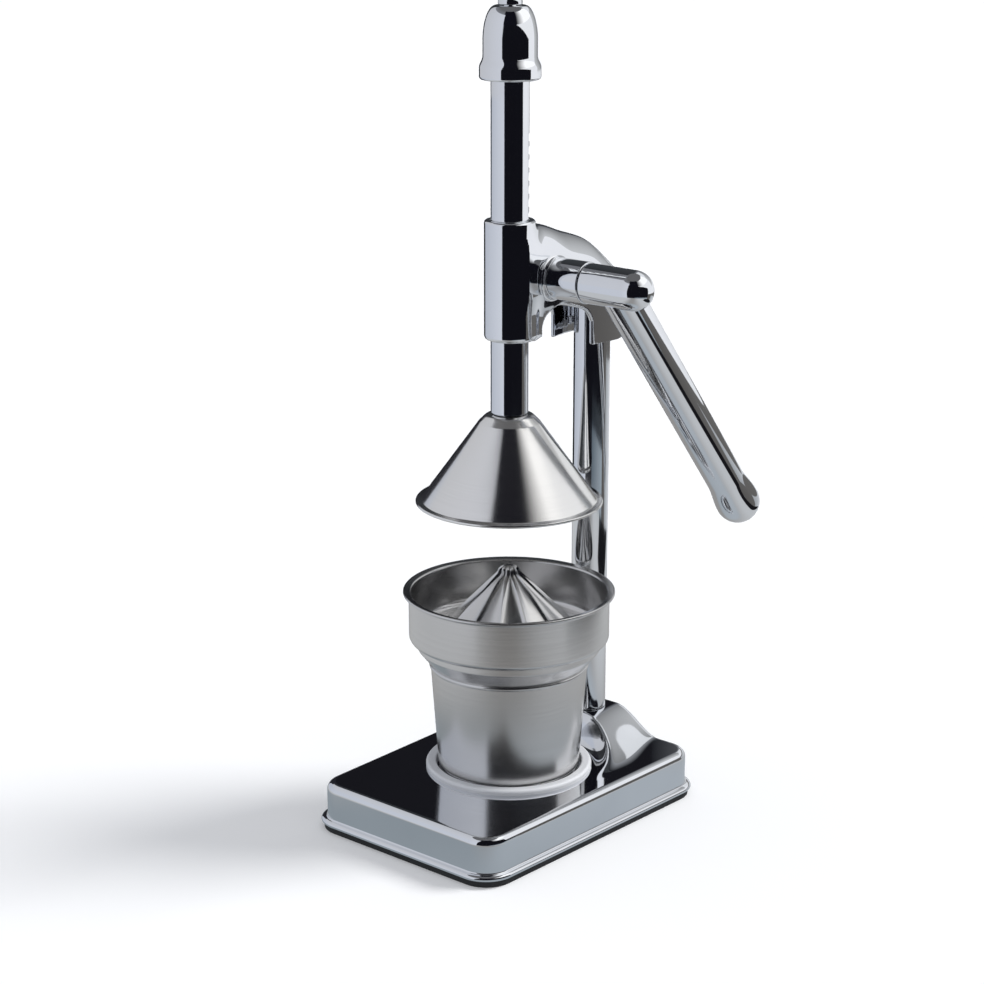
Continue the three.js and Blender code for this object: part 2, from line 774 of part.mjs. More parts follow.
function ramRack() {
  const gapCount = Math.ceil(stroke / rackPitch) + spareGapCount;
  const cuts = [];
  const tipOver = rackFlat + addendum + overrun;
  for (let i = 0; i < gapCount; i++) {
    const z = pinionZ + (i - 1) * rackPitch;
    const rootHalf = toothGapHalf(-dedendum);
    const tipHalf = toothGapHalf(addendum);
    cuts.push(sidePrism([[rackPitchLine - dedendum, z - rootHalf], [rackPitchLine + addendum, z - tipHalf],
      [rackPitchLine + tipOver, z - tipHalf], [rackPitchLine + tipOver, z + tipHalf],
      [rackPitchLine + addendum, z + tipHalf], [rackPitchLine - dedendum, z + rootHalf]],
    -ramRadius - overrun, ramRadius + overrun));
  }
  const flatBottom = pinionZ - rackPitch - rackPitch / 2;
  const flatTop = flatBottom + gapCount * rackPitch;
  const flat = block(-ramRadius - overrun, ramRadius + overrun, rackTip, ramRadius + overrun,
    flatBottom, flatTop);
  const bar = turned([[0, ramBottom], [ramRadius - ramEdge, ramBottom], [ramRadius, ramBottom + ramEdge],
    [ramRadius, ramTop - ramEdge], [ramRadius - ramEdge, ramTop], [studRadius, ramTop],
    [studRadius, ramTop + studLength], [0, ramTop + studLength]], midSides);
  const screwHole = rod(coneScrewRadius + slideGap, ramBottom - overrun, ramBottom + coneScrewBite + seatGap,
    smallSides);
  return cutBy(bar, flat, ...cuts, screwHole);
}

// Places along a swelling where one radius passes into another, as shares of its length
const blendShares = [0.25, 0.5, 0.75];

function bellCap() {
  const bodyTop = bellTop - bellShoulder;
  const skirtTop = bellBottom + skirtHeight;
  const blend = blendShares.map((share) => [
    skirtRadius + (bellRadius - skirtRadius) * smooth(share), skirtTop + skirtBlend * share]);
  const round = edgeRound;
  const shoulder = ellipseArc(bellTopRadius, bodyTop, bellRadius - bellTopRadius, bellShoulder, 0,
    Math.PI / 2, ballSteps);
  const hole = studRadius + slideGap;
  const bore = ramRadius + slideGap;
  const skirtInner = bellRadius - bellWall;
  const boreTop = ramTop + seatGap;
  return turned([[skirtInner, bellBottom], ...arc(skirtRadius - round, bellBottom + round, round,
    -Math.PI / 2, 0, edgeSteps), [skirtRadius, skirtTop], ...blend, ...shoulder,
  [hole, bellTop - bellDish], [hole, boreTop], [bore, boreTop], [bore, skirtTop + skirtBlend],
  [skirtInner, skirtTop], [skirtInner, bellBottom]], midSides);
}

function capNut() {
  const bottom = bellTop + seatGap;
  const dome = ellipseArc(0, bottom + capNutFoot, capNutRadius, capNutHeight - capNutFoot, 0, Math.PI / 2,
    domeSteps);
  const hole = studRadius + slideGap;
  const holeTop = ramTop + studLength + seatGap;
  return cutBy(turned([[0, bottom], [capNutRadius, bottom], ...dome], midSides),
    rod(hole, bottom - overrun, holeTop, smallSides));
}

function pressCone() {
  const sideSlope = (coneRadius - coneShoulder) / (coneHeight - coneTopRound - brimThickness);
  const brimTop = coneBottom + brimThickness;
  const hole = coneScrewRadius + slideGap;
  const shoulder = ellipseArc(coneTopFlat, coneTop - coneTopRound, coneShoulder - coneTopFlat, coneTopRound,
    0, Math.PI / 2, edgeSteps).reverse();
  const drop = coneWall * sideSlope;
  const inner = [[hole, coneTop - coneWall], [coneTopFlat - coneWall, coneTop - coneWall],
    [coneShoulder - coneWall, coneTop - coneTopRound - coneWall + drop],
    [coneRadius - coneWall, brimTop], [coneRadius - coneWall, coneBottom]];
  return turned([[hole, coneTop - coneWall], [hole, coneTop], ...shoulder, [coneRadius, brimTop],
    [coneRadius + coneBrim, brimTop], [coneRadius + coneBrim, coneBottom], ...inner.reverse()], wideSides);
}

const coneWasherTop = coneTop - coneWall - seatGap;
const coneHeadTop = coneWasherTop - coneWasherThickness - seatGap;

function coneWasher() {
  return tube(coneScrewRadius + slideGap, coneWasherRadius, coneWasherTop - coneWasherThickness,
    coneWasherTop, smallSides);
}

function coneScrew() {
  const dome = ellipseArc(0, coneHeadTop, coneScrewHead, coneScrewHeight, -Math.PI / 2, 0, edgeSteps);
  return turned([...dome, [coneScrewRadius, coneHeadTop], [coneScrewRadius, ramBottom + coneScrewBite],
    [0, ramBottom + coneScrewBite]], smallSides);
}

// Pinion, shaft, key and bushes: all of them on the cross axis

function involute(baseRadius, radius) {
  const roll = Math.sqrt(Math.max(0, (radius / baseRadius) ** 2 - 1));
  return roll - Math.atan(roll);
}

// Points along a tooth's flank, as shares of the way from its foot to its tip
const flankShares = [0, 0.2, 0.45, 0.7, 1];

function pinionOutline() {
  const baseRadius = pitchRadius * Math.cos(pressureAngle);
  const tip = pitchRadius + addendum;
  const root = pitchRadius - dedendum;
  const halfTooth = Math.PI / (2 * pinionTeeth) - backlash / 4 / pitchRadius;
  const halfAt = (radius) => halfTooth + involute(baseRadius, pitchRadius) - involute(baseRadius, radius);
  const start = Math.max(baseRadius, root);
  const flank = flankShares.map((share) => start + (tip - start) * share);
  const points = [];
  for (let tooth = 0; tooth < pinionTeeth; tooth++) {
    // one tooth points at the rack
    const middle = Math.PI + 2 * Math.PI * tooth / pinionTeeth;
    const side = (radius, sign) => {
      const angle = middle + sign * halfAt(radius);
      points.push([radius * Math.cos(angle), radius * Math.sin(angle)]);
    };
    const rootHalf = halfAt(start);
    points.push([root * Math.cos(middle - rootHalf), root * Math.sin(middle - rootHalf)]);
    flank.forEach((radius) => side(radius, -1));
    flank.slice().reverse().forEach((radius) => side(radius, 1));
    points.push([root * Math.cos(middle + rootHalf), root * Math.sin(middle + rootHalf)]);
  }
  return points;
}

const keyHole = keySize + 2 * slideGap;

function keySlot(length) {
  // stands half in the shaft and half in the gear
  const middle = pinionZ + shaftRadius;
  return block(-length / 2, length / 2, pinionY - keyHole / 2, pinionY + keyHole / 2,
    middle - keyHole / 2, middle + keyHole / 2);
}

function pinionGear() {
  const wheel = atShaft(prism(pinionOutline(), -pinionWidth / 2, pinionWidth / 2));
  const bore = turnedOnShaft([[0, -pinionWidth], [shaftRadius + slideGap, -pinionWidth],
    [shaftRadius + slideGap, pinionWidth], [0, pinionWidth]], smallSides);
  return cutBy(wheel, bore, keySlot(pinionWidth + 2 * overrun));
}

function pinionShaft() {
  const bar = turnedOnShaft([[0, -shaftLeft], [shaftRadius - ramEdge, -shaftLeft],
    [shaftRadius, -shaftLeft + ramEdge], [shaftRadius, shaftRight - ramEdge],
    [shaftRadius - ramEdge, shaftRight], [0, shaftRight]], smallSides);
  const hole = turnedOnShaft([[0, -shaftLeft - overrun], [endScrewRadius + slideGap, -shaftLeft - overrun],
    [endScrewRadius + slideGap, -shaftLeft + endScrewBite + seatGap],
    [0, -shaftLeft + endScrewBite + seatGap]], smallSides);
  return cutBy(bar, hole, keySlot(keyLength + 2 * slideGap));
}

function gearKey() {
  const middle = pinionZ + shaftRadius;
  return block(-keyLength / 2, keyLength / 2, pinionY - keySize / 2, pinionY + keySize / 2,
    middle - keySize / 2, middle + keySize / 2);
}

function bush(flangeEnd) {
  // spigot in the boss, with a flange or collar outside it
  const bore = shaftRadius + slideGap;
  const start = bossReach + seatGap;
  const edge = collarEdge;
  return [[bore, bushInner], [spigotRadius, bushInner], [spigotRadius, start],
    ...arc(collarRadius - edge, start + edge, edge, -Math.PI / 2, 0, bevelSteps),
    ...arc(collarRadius - edge, flangeEnd - edge, edge, 0, Math.PI / 2, bevelSteps),
    [bore, flangeEnd], [bore, bushInner]];
}

function bearingCollar() {
  return turnedOnShaft(bush(collarStart + collarLength), midSides);
}

function leftBush() {
  const mirrored = bush(leftFlangeEnd).map(([radius, x]) => [radius, -x]).reverse();
  return turnedOnShaft(mirrored, midSides);
}

const endWasherInner = leftFlangeEnd + seatGap;
const endHeadStart = endWasherInner + endWasherThickness + seatGap;

function endWasher() {
  const hole = endScrewRadius + slideGap;
  const outer = -endWasherInner - endWasherThickness;
  return turnedOnShaft([[hole, outer], [endWasherRadius, outer], [endWasherRadius, -endWasherInner],
    [hole, -endWasherInner], [hole, outer]], smallSides);
}

function endScrew() {
  const dome = ellipseArc(0, -endHeadStart, endScrewHead, endScrewHeight, -Math.PI / 2, 0, edgeSteps);
  return turnedOnShaft([...dome, [endScrewRadius, -endHeadStart], [endScrewRadius, -shaftLeft + endScrewBite],
    [0, -shaftLeft + endScrewBite]], smallSides);
}

// Lever: hub on the shaft, arm screwed into the hub

// Turns a solid made along +Z from the shaft's axis so that it lies along the arm
function alongArm(solid, x) {
  const place = new THREE.Matrix4().makeTranslation(x, pinionY, pinionZ);
  const tilt = new THREE.Matrix4().makeRotationX(-Math.PI / 2 - leverAngle);
  return moved(solid, place.multiply(tilt));
}

function leverHub() {
  const end = hubStart + hubLength;
  const dome = arc(0, end - hubRadius, hubRadius, 0, Math.PI / 2, ballSteps);
  const body = turnedOnShaft([[0, hubStart], [hubRadius - hubEdge, hubStart], [hubRadius, hubStart + hubEdge],
    ...dome], midSides);
  const bore = turnedOnShaft([[0, hubStart - overrun], [shaftRadius + slideGap, hubStart - overrun],
    [shaftRadius + slideGap, hubStart + hubBore], [0, hubStart + hubBore]], smallSides);
  const tenonHole = alongArm(rod(tenonRadius + slideGap, 0, hubRadius + overrun, smallSides), armX);
  const screwHole = alongArm(rod(setScrewRadius + slideGap, 0, hubRadius + overrun, smallSides),
    hubStart + setScrewOffset);
  return cutBy(body, bore, tenonHole, screwHole);
}

function setScrew() {
  const start = shaftRadius + seatGap;
  return alongArm(rod(setScrewRadius, start, hubRadius - setScrewSink, smallSides), hubStart + setScrewOffset);
}

function leverArm() {
  const blend = [0, ...blendShares].map((share) => [
    armRadius + (bulbRadius - armRadius) * smooth(share), armLength - bulbBlend * (1 - share)]);
  const round = arc(0, armLength, bulbRadius, 0, Math.PI / 2, ballSteps);
  const body = turned([[0, armStart], [armRadius, armStart], ...blend, ...round], midSides);
  const copeReach = armRadius + overrun;
  const cope = rod(hubRadius + seatGap, -copeReach, copeReach, midSides);
  const saddle = moved(cope, new THREE.Matrix4().makeRotationY(Math.PI / 2));
  const tenonStart = shaftRadius + tenonGap;
  const tenon = rod(tenonRadius, tenonStart, hubRadius + overrun, smallSides);
  return alongArm(joined(cutBy(body, saddle), tenon), armX);
}

// Cup set: tumbler, strainer bowl, reamer

function tumbler() {
  const foot = tumblerFoot - tumblerFootRound;
  const bottomRound = arc(foot, tumblerBottom + tumblerFootRound, tumblerFootRound, -Math.PI / 2, 0, edgeSteps);
  const bead = ellipseArc(tumblerNeck, tumblerNeckZ + beadHeight / 2, beadRadius - tumblerNeck, beadHeight / 2,
    -Math.PI / 2, Math.PI / 2, edgeSteps).slice(1);
  const outer = [[0, tumblerBottom], ...bottomRound, [tumblerNeck, tumblerNeckZ], ...bead,
    [tumblerMouth, funnelTop], [tumblerMouth, tumblerTop]];
  const innerRound = arc(foot, tumblerBottom + tumblerFootRound, tumblerFootRound - tumblerWall,
    -Math.PI / 2, 0, bevelSteps);
  const inner = [[0, tumblerBottom + tumblerWall], ...innerRound, [tumblerNeck - tumblerWall, tumblerNeckZ],
    [tumblerNeck - tumblerWall, funnelBottom], [tumblerMouth - tumblerWall, funnelTop],
    [tumblerMouth - tumblerWall, tumblerTop]];
  return turned([...outer, ...inner.reverse()], wideSides);
}

function strainerBowl() {
  const rimZ = bowlSeat + bowlHeight;
  const seatEdge = bowlRadius - bowlRound;
  const skirtOuter = tumblerMouth - tumblerWall - slideGap;
  const skirtInner = skirtOuter - bowlWall;
  const skirtBottom = bowlSeat - bowlSkirt;
  const innerRound = bowlRound - bowlWall;
  const corner = arc(seatEdge, bowlSeat + bowlRound, bowlRound, -Math.PI / 2, 0, edgeSteps);
  const innerCorner = arc(seatEdge, bowlFloor + innerRound, innerRound, -Math.PI / 2, 0, edgeSteps).reverse();
  const roll = bowlRimHeight / 2;
  const rim = [[bowlRadius, rimZ - rimFlare], ...arc(bowlRim - roll, rimZ - roll, roll, -Math.PI / 2,
    Math.PI / 2, edgeSteps), [bowlRadius, rimZ - rimDip], [bowlRadius - bowlWall, rimZ - bowlRimHeight]];
  const hole = reamerScrewRadius + slideGap;
  const dish = turned([[hole, bowlUnder], [skirtInner, bowlUnder], [skirtInner, skirtBottom],
    [skirtOuter, skirtBottom], [skirtOuter, bowlSeat], ...corner, ...rim, ...innerCorner,
    [hole, bowlFloor], [hole, bowlUnder]], wideSides);
  const slots = [];
  const slotEnd = skirtInner - slotInset;
  for (let i = 0; i < slotCount; i++) {
    const turn = new THREE.Matrix4().makeRotationZ(2 * Math.PI * i / slotCount);
    slots.push(moved(block(slotEnd - slotLength, slotEnd, -slotWidth / 2, slotWidth / 2,
      bowlUnder - overrun, bowlFloor + overrun), turn));
  }
  return cutBy(dish, ...slots);
}

// Tip of the reamer: radius and depth below the top, as shares of the tip's radius
const tipShares = [[0.6, 0.2], [0.15, 0]];
const tipStartShare = 0.6; // how deep below the top the straight side ends, of the tip's radius
const footRibShare = 0.2; // how deep the grooves are at the foot
const tipRibShare = 0.35; // the grooves' depth at the tip, of the radius there
const hollowShare = 0.62; // height of the hollow inside
const ribSteps = 4;
const reamerSteps = 4;

function reamerRing(radius, height, depth) {
  const count = reamerRibs * ribSteps;
  const points = [];
  for (let i = 0; i < count; i++) {
    const angle = 2 * Math.PI * i / count;
    // narrow grooves between broad round ribs
    const reach = radius - depth * Math.sqrt(Math.abs(Math.sin(reamerRibs * angle / 2)));
    points.push([reach * Math.cos(angle), reach * Math.sin(angle), reamerBottom + height]);
  }
  return points;
}

function reamer() {
  const sideTop = reamerHeight - reamerTipRadius * tipStartShare;
  const depthAt = (radius) => Math.min(ribDepth, radius * tipRibShare);
  const rings = [reamerRing(reamerRadius, 0, 0), reamerRing(reamerRadius, reamerFoot, ribDepth * footRibShare)];
  for (let i = 1; i <= reamerSteps; i++) {
    const share = i / reamerSteps;
    const radius = reamerRadius + (reamerTipRadius - reamerRadius) * share;
    rings.push(reamerRing(radius, reamerFoot + (sideTop - reamerFoot) * share, depthAt(radius)));
  }
  tipShares.forEach(([across, depth]) => {
    const radius = reamerTipRadius * across;
    rings.push(reamerRing(radius, reamerHeight - reamerTipRadius * depth, depthAt(radius)));
  });
  const shell = skinned(rings, true);
  const innerRadius = reamerRadius - reamerWall - ribDepth;
  const innerTop = reamerBottom + reamerHeight * hollowShare;
  const hollow = turned([[0, reamerBottom - overrun], [innerRadius, reamerBottom - overrun],
    [innerRadius, reamerBottom], [reamerTipRadius, innerTop], [0, innerTop]], midSides);
  const boss = rod(reamerBoss, reamerBottom, innerTop + overrun, smallSides);
  const hole = rod(reamerScrewRadius + slideGap, reamerBottom - overrun,
    reamerBottom + reamerScrewBite + seatGap, smallSides);
  return cutBy(joined(cutBy(shell, hollow), boss), hole);
}

const reamerWasherTop = bowlUnder - seatGap;
const reamerHeadTop = reamerWasherTop - reamerWasherThickness - seatGap;

function reamerWasher() {
  return tube(reamerScrewRadius + slideGap, reamerWasherRadius, reamerWasherTop - reamerWasherThickness,
    reamerWasherTop, smallSides);
}

function reamerScrew() {
  const dome = ellipseArc(0, reamerHeadTop, reamerScrewHead, reamerScrewHeight, -Math.PI / 2, 0, edgeSteps);
  return turned([...dome, [reamerScrewRadius, reamerHeadTop], [reamerScrewRadius, reamerBottom + reamerScrewBite],
    [0, reamerBottom + reamerScrewBite]], smallSides);
}

// Assembly

const press = new THREE.Group();

function place(name, solid, finish) {
  const mesh = new THREE.Mesh(geometryOf(solid), new THREE.MeshStandardMaterial(finish));
  mesh.name = name;
  press.add(mesh);
}

place('base_shell', baseShell(), chromeFinish);
place('base_pad', basePad(), rubberFinish);
padScrewPlaces().forEach((spot, i) => place(`pad_screw_${i + 1}`, padScrew(spot), steelFinish));
place('cup_ring', cupRing(), ringFinish);
place('column_tube', columnTube(), chromeFinish);
place('tie_rod', tieRod(), steelFinish);
place('tie_washer', tieWasher(), steelFinish);
place('tie_nut', tieNut(), steelFinish);
place('head_casting', headCasting(), chromeFinish);
place('bearing_collar', bearingCollar(), chromeFinish);
place('left_bush', leftBush(), chromeFinish);
place('ram_rack', ramRack(), chromeFinish);
place('bell_cap', bellCap(), chromeFinish);
place('cap_nut', capNut(), chromeFinish);
place('press_cone', pressCone(), satinFinish);
place('cone_washer', coneWasher(), steelFinish);
place('cone_screw', coneScrew(), steelFinish);
place('pinion_gear', pinionGear(), steelFinish);
place('pinion_shaft', pinionShaft(), steelFinish);
place('gear_key', gearKey(), steelFinish);
place('end_washer', endWasher(), chromeFinish);
place('end_screw', endScrew(), chromeFinish);
place('lever_hub', leverHub(), chromeFinish);
place('lever_arm', leverArm(), chromeFinish);
place('hub_set_screw', setScrew(), steelFinish);
place('tumbler', tumbler(), satinFinish);
place('strainer_bowl', strainerBowl(), satinFinish);
place('reamer', reamer(), satinFinish);
place('reamer_washer', reamerWasher(), steelFinish);
place('reamer_screw', reamerScrew(), steelFinish);

export default press;
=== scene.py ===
import math

import bpy
import numpy as np
import openvdb
from mathutils import Matrix, Vector


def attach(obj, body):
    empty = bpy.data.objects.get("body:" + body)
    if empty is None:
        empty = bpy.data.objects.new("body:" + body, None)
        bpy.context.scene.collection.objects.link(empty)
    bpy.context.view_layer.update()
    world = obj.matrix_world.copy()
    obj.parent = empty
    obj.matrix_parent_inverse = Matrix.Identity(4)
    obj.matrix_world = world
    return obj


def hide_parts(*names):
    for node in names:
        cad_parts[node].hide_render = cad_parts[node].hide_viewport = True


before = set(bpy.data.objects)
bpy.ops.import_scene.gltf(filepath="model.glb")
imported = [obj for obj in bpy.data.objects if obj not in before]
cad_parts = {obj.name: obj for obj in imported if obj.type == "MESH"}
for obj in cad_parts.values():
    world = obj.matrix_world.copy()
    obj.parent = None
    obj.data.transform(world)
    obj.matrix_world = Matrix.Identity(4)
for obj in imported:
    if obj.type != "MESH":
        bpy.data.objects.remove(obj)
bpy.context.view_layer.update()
mm = 0.001

# fineness of rounds; angles in degrees
drawing = {"sides": 144, "wideSides": 200, "crease": 32, "arcStep": 9, "nearlyStraight": 88.5, "edgeShare": 0.499}


def linked(item):
    bpy.context.scene.collection.objects.link(item)
    return item


# meshes are given in millimetres, as the sizes in the dictionaries are
def linkedPiece(name, vertices, faces, creaseAngle=drawing["crease"]):
    mesh = bpy.data.meshes.new(name)
    mesh.from_pydata([tuple(v) for v in np.asarray(vertices, float) * mm], [], faces)
    mesh.validate()
    mesh.shade_smooth()
    if creaseAngle:
        mesh.set_sharp_from_angle(angle=math.radians(creaseAngle))
    return linked(bpy.data.objects.new(name, mesh))


def evenNormals(piece):
    # flat faces stay flat beside their rounded edges
    weighted = piece.modifiers.new("evenNormals", "WEIGHTED_NORMAL")
    weighted.weight = 100
    weighted.keep_sharp = True
    return piece


def softened(profile, closed=False):
    # each point is (radius, height) or (radius, height, rounding)
    points = [np.array(p[:2], float) for p in profile]
    roundings = [p[2] if len(p) > 2 else 0 for p in profile]
    result = []
    for i, corner in enumerate(points):
        ends = not closed and i in (0, len(points) - 1)
        if ends or roundings[i] <= 0:
            result.append(corner)
            continue
        before, after = points[i - 1], points[(i + 1) % len(points)]
        toBefore, toAfter = before - corner, after - corner
        lengths = np.linalg.norm(toBefore), np.linalg.norm(toAfter)
        toBefore, toAfter = toBefore / lengths[0], toAfter / lengths[1]
        half = math.acos(max(-1, min(1, float(toBefore @ toAfter)))) / 2
        if half > math.radians(drawing["nearlyStraight"]):
            result.append(corner)
            continue
        reach = min(roundings[i] / math.tan(half), *(length * drawing["edgeShare"] for length in lengths))
        radius = reach * math.tan(half)
        centre = corner + (toBefore + toAfter) / np.linalg.norm(toBefore + toAfter) * radius / math.sin(half)
        start, end = corner + toBefore * reach, corner + toAfter * reach
        first = math.atan2(*(start - centre)[::-1])
        turn = (math.atan2(*(end - centre)[::-1]) - first + math.pi) % (2 * math.pi) - math.pi
        steps = max(2, int(abs(turn) / math.radians(drawing["arcStep"])) + 1)
        for k in range(steps + 1):
            angle = first + turn * k / steps
            result.append(centre + radius * np.array([math.cos(angle), math.sin(angle)]))
    return result


def arcPoints(centreX, centreY, radiusX, radiusY, first, last, steps=16):
    angles = np.radians(np.linspace(first, last, steps + 1))
    return [(centreX + radiusX * math.cos(a), centreY + radiusY * math.sin(a)) for a in angles]


def turnedPiece(name, profile, place=None, sides=drawing["sides"], closed=False, creaseAngle=drawing["crease"]):
    points = softened(profile, closed)
    vertices, rings = [], []
    angles = np.linspace(0, 2 * math.pi, sides, endpoint=False)
    for radius, height in points:
        if radius < 1e-6:
            rings.append([len(vertices)] * sides)
            vertices.append((0, 0, height))
        else:
            rings.append(list(range(len(vertices), len(vertices) + sides)))
            vertices.extend((radius * math.cos(a), radius * math.sin(a), height) for a in angles)
    faces = []
    pairs = list(zip(rings, rings[1:])) + ([(rings[-1], rings[0])] if closed else [])
    for lower, upper in pairs:
        for i in range(sides):
            j = (i + 1) % sides
            face = list(dict.fromkeys([lower[i], lower[j], upper[j], upper[i]]))
            if len(face) > 2:
                faces.append(face)
    moved = np.array(vertices, float)
    if place is not None:
        moved = moved @ np.array(place.to_3x3()).T + np.array(place.translation)
    return evenNormals(linkedPiece(name, moved, faces, creaseAngle))


def skinnedPiece(name, rings, closeEnds=False, creaseAngle=drawing["crease"]):
    count = len(rings[0])
    vertices = [v for ring in rings for v in ring]
    faces = []
    for start in range(0, len(vertices) - count, count):
        for i in range(count):
            j = (i + 1) % count
            faces.append([start + i, start + j, start + count + j, start + count + i])
    if closeEnds:
        faces.append(list(range(count))[::-1])
        faces.append(list(range(len(vertices) - count, len(vertices))))
    return linkedPiece(name, vertices, faces, creaseAngle)


def smooth(share):
    t = np.clip(share, 0, 1)
    return t * t * (3 - 2 * t)


def finished(piece, body, nodes, material):
    piece.data.materials.append(material)
    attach(piece, body)
    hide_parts(*nodes)


class Signal:
    def __init__(self, recipe, socket):
        self.recipe, self.socket = recipe, socket

    def maths(self, operation, other, swapped=False):
        pair = {0: other, 1: self} if swapped else {0: self, 1: other}
        return self.recipe.add("ShaderNodeMath", {"operation": operation}, pair)

    def __add__(self, other):
        return self.maths("ADD", other)

    def __sub__(self, other):
        return self.maths("SUBTRACT", other)

    def __mul__(self, other):
        return self.maths("MULTIPLY", other)

    def __radd__(self, other):
        return self.maths("ADD", other, True)

    def __rsub__(self, other):
        return self.maths("SUBTRACT", other, True)

    def __rmul__(self, other):
        return self.maths("MULTIPLY", other, True)


class Recipe:
    def __init__(self, tree):
        self.tree = tree
        self.tree.nodes.clear()

    def add(self, kind, settings=None, sockets=None, output=0):
        node = self.tree.nodes.new(kind)
        for key, value in (settings or {}).items():
            if key == "stops":
                ramp = node.color_ramp
                while len(ramp.elements) < len(value):
                    ramp.elements.new(1)
                for element, (position, colour) in zip(ramp.elements, value):
                    element.position, element.color = position, (*colour, 1)
            else:
                setattr(node, key, value)
        for key, value in (sockets or {}).items():
            if isinstance(value, Signal):
                self.tree.links.new(value.socket, node.inputs[key])
            else:
                node.inputs[key].default_value = value
        return Signal(self, node.outputs[output]) if node.outputs else node


def newMaterial(name):
    material = bpy.data.materials.new(name)
    material.use_nodes = True
    return material, Recipe(material.node_tree)


def materialFrom(name, constants, build):
    material, recipe = newMaterial(name)
    shader = recipe.add("ShaderNodeBsdfPrincipled", None, {**constants, **build(recipe)})
    recipe.add("ShaderNodeOutputMaterial", None, {"Surface": shader})
    return material


def objectPlace(recipe):
    return recipe.add("ShaderNodeTexCoord", output="Object")


def noise(recipe, vector, scale, detail=3, roughness=0.5):
    return recipe.add("ShaderNodeTexNoise", None,
                      {"Vector": vector, "Scale": scale, "Detail": detail, "Roughness": roughness})


def mixOf(recipe, share, first, second):
    return recipe.add("ShaderNodeMix", {"data_type": "RGBA"}, {"Factor": share, 6: first, 7: second}, output=2)


def blendOf(recipe, share, first, second):
    return mixOf(recipe, share, (*first, 1), (*second, 1))


def partsOf(recipe, vector):
    node = recipe.add("ShaderNodeSeparateXYZ", None, {"Vector": vector}).socket.node
    return [Signal(recipe, output) for output in node.outputs]


def rayKinds(recipe):
    node = recipe.add("ShaderNodeLightPath").socket.node
    return Signal(recipe, node.outputs["Is Camera Ray"]), Signal(recipe, node.outputs["Is Glossy Ray"])


def bumpOf(recipe, height, strength, distance):
    return recipe.add("ShaderNodeBump", None, {"Height": height, "Strength": strength, "Distance": distance})


# polished plate: clear reflections, a breath of haze and the faintest unevenness
chromeLook = {
    "tint": (0.83, 0.845, 0.87), "tintDull": (0.74, 0.755, 0.785),
    "roughness": 0.035, "haze": 0.05, "hazeScale": 28,
    "waveScale": 70, "waveStrength": 0.05, "waveDepth": 0.00025,
}


def chromeNodes(recipe, look=chromeLook):
    place = objectPlace(recipe)
    haze = noise(recipe, place, look["hazeScale"], detail=4)
    wave = noise(recipe, place, look["waveScale"], detail=1)
    return {
        "Base Color": blendOf(recipe, haze * haze, look["tint"], look["tintDull"]),
        "Roughness": look["roughness"] + haze * haze * look["haze"],
        "Normal": bumpOf(recipe, wave, look["waveStrength"], look["waveDepth"]),
    }


chrome = materialFrom("chromePlate", {"Metallic": 1.0}, chromeNodes)

# drawn tube: fine lines along its length
tubeLook = {
    "tint": (0.83, 0.845, 0.87), "tintDull": (0.7, 0.715, 0.745),
    "roughness": 0.04, "haze": 0.09, "patchScale": 22,
    "lineScale": (260, 260, 7), "lineStrength": 0.05, "lineDepth": 0.00008,
}


def tubeNodes(recipe, look=tubeLook):
    place = objectPlace(recipe)
    stretched = recipe.add("ShaderNodeMapping", None, {"Vector": place, "Scale": look["lineScale"]})
    lines = noise(recipe, stretched, 1)
    patches = noise(recipe, place, look["patchScale"])
    return {
        "Base Color": blendOf(recipe, lines * patches, look["tint"], look["tintDull"]),
        "Roughness": look["roughness"] + lines * patches * look["haze"],
        "Normal": bumpOf(recipe, lines, look["lineStrength"], look["lineDepth"]),
    }


drawnChrome = materialFrom("drawnChrome", {"Metallic": 1.0}, tubeNodes)


# turned sheet: fine rings round the upright axis, with slow changes along them
turning = {"sideScale": 9, "detail": 5, "fineRoughness": 0.65, "fineShare": 0.6, "cloudShare": 0.4}


def ringNodes(recipe, look):
    place = objectPlace(recipe)
    x, y, z = partsOf(recipe, place)
    radius = recipe.add("ShaderNodeMath", {"operation": "SQRT"}, {0: x * x + y * y})
    along = (z - radius) * look["ringScale"]
    sideScale = turning["sideScale"]
    grooves = recipe.add("ShaderNodeCombineXYZ", None, {0: x * sideScale, 1: y * sideScale, 2: along})
    fine = noise(recipe, grooves, 1, turning["detail"], turning["fineRoughness"])
    cloud = noise(recipe, place, look["cloudScale"])
    share = fine * turning["fineShare"] + cloud * turning["cloudShare"]
    return {
        "Base Color": blendOf(recipe, share, look["tint"], look["tintDull"]),
        "Roughness": look["roughness"] + fine * look["grain"] + cloud * look["cloud"],
        "Normal": bumpOf(recipe, fine, look["strength"], look["depth"]),
    }


def turnedMaterial(name, look, constants):
    return materialFrom(name, {"Metallic": 1.0, **constants}, lambda recipe: ringNodes(recipe, look))


coneLook = {
    "tint": (0.9, 0.892, 0.88), "tintDull": (0.76, 0.752, 0.742), "roughness": 0.12, "grain": 0.07,
    "cloud": 0.05, "ringScale": 1500, "cloudScale": 14, "strength": 0.16, "depth": 0.00006,
}
cupLook = {
    "tint": (0.74, 0.735, 0.73), "tintDull": (0.6, 0.595, 0.59), "roughness": 0.16, "grain": 0.1,
    "cloud": 0.06, "ringScale": 1100, "cloudScale": 16, "strength": 0.12, "depth": 0.00005,
}
coneSteel = turnedMaterial("turnedConeSteel", coneLook, {"Anisotropic": 0.6, "Anisotropic Rotation": 0.25})
cupSteel = turnedMaterial("turnedCupSteel", cupLook, {"Anisotropic": 0.45, "Anisotropic Rotation": 0.25})

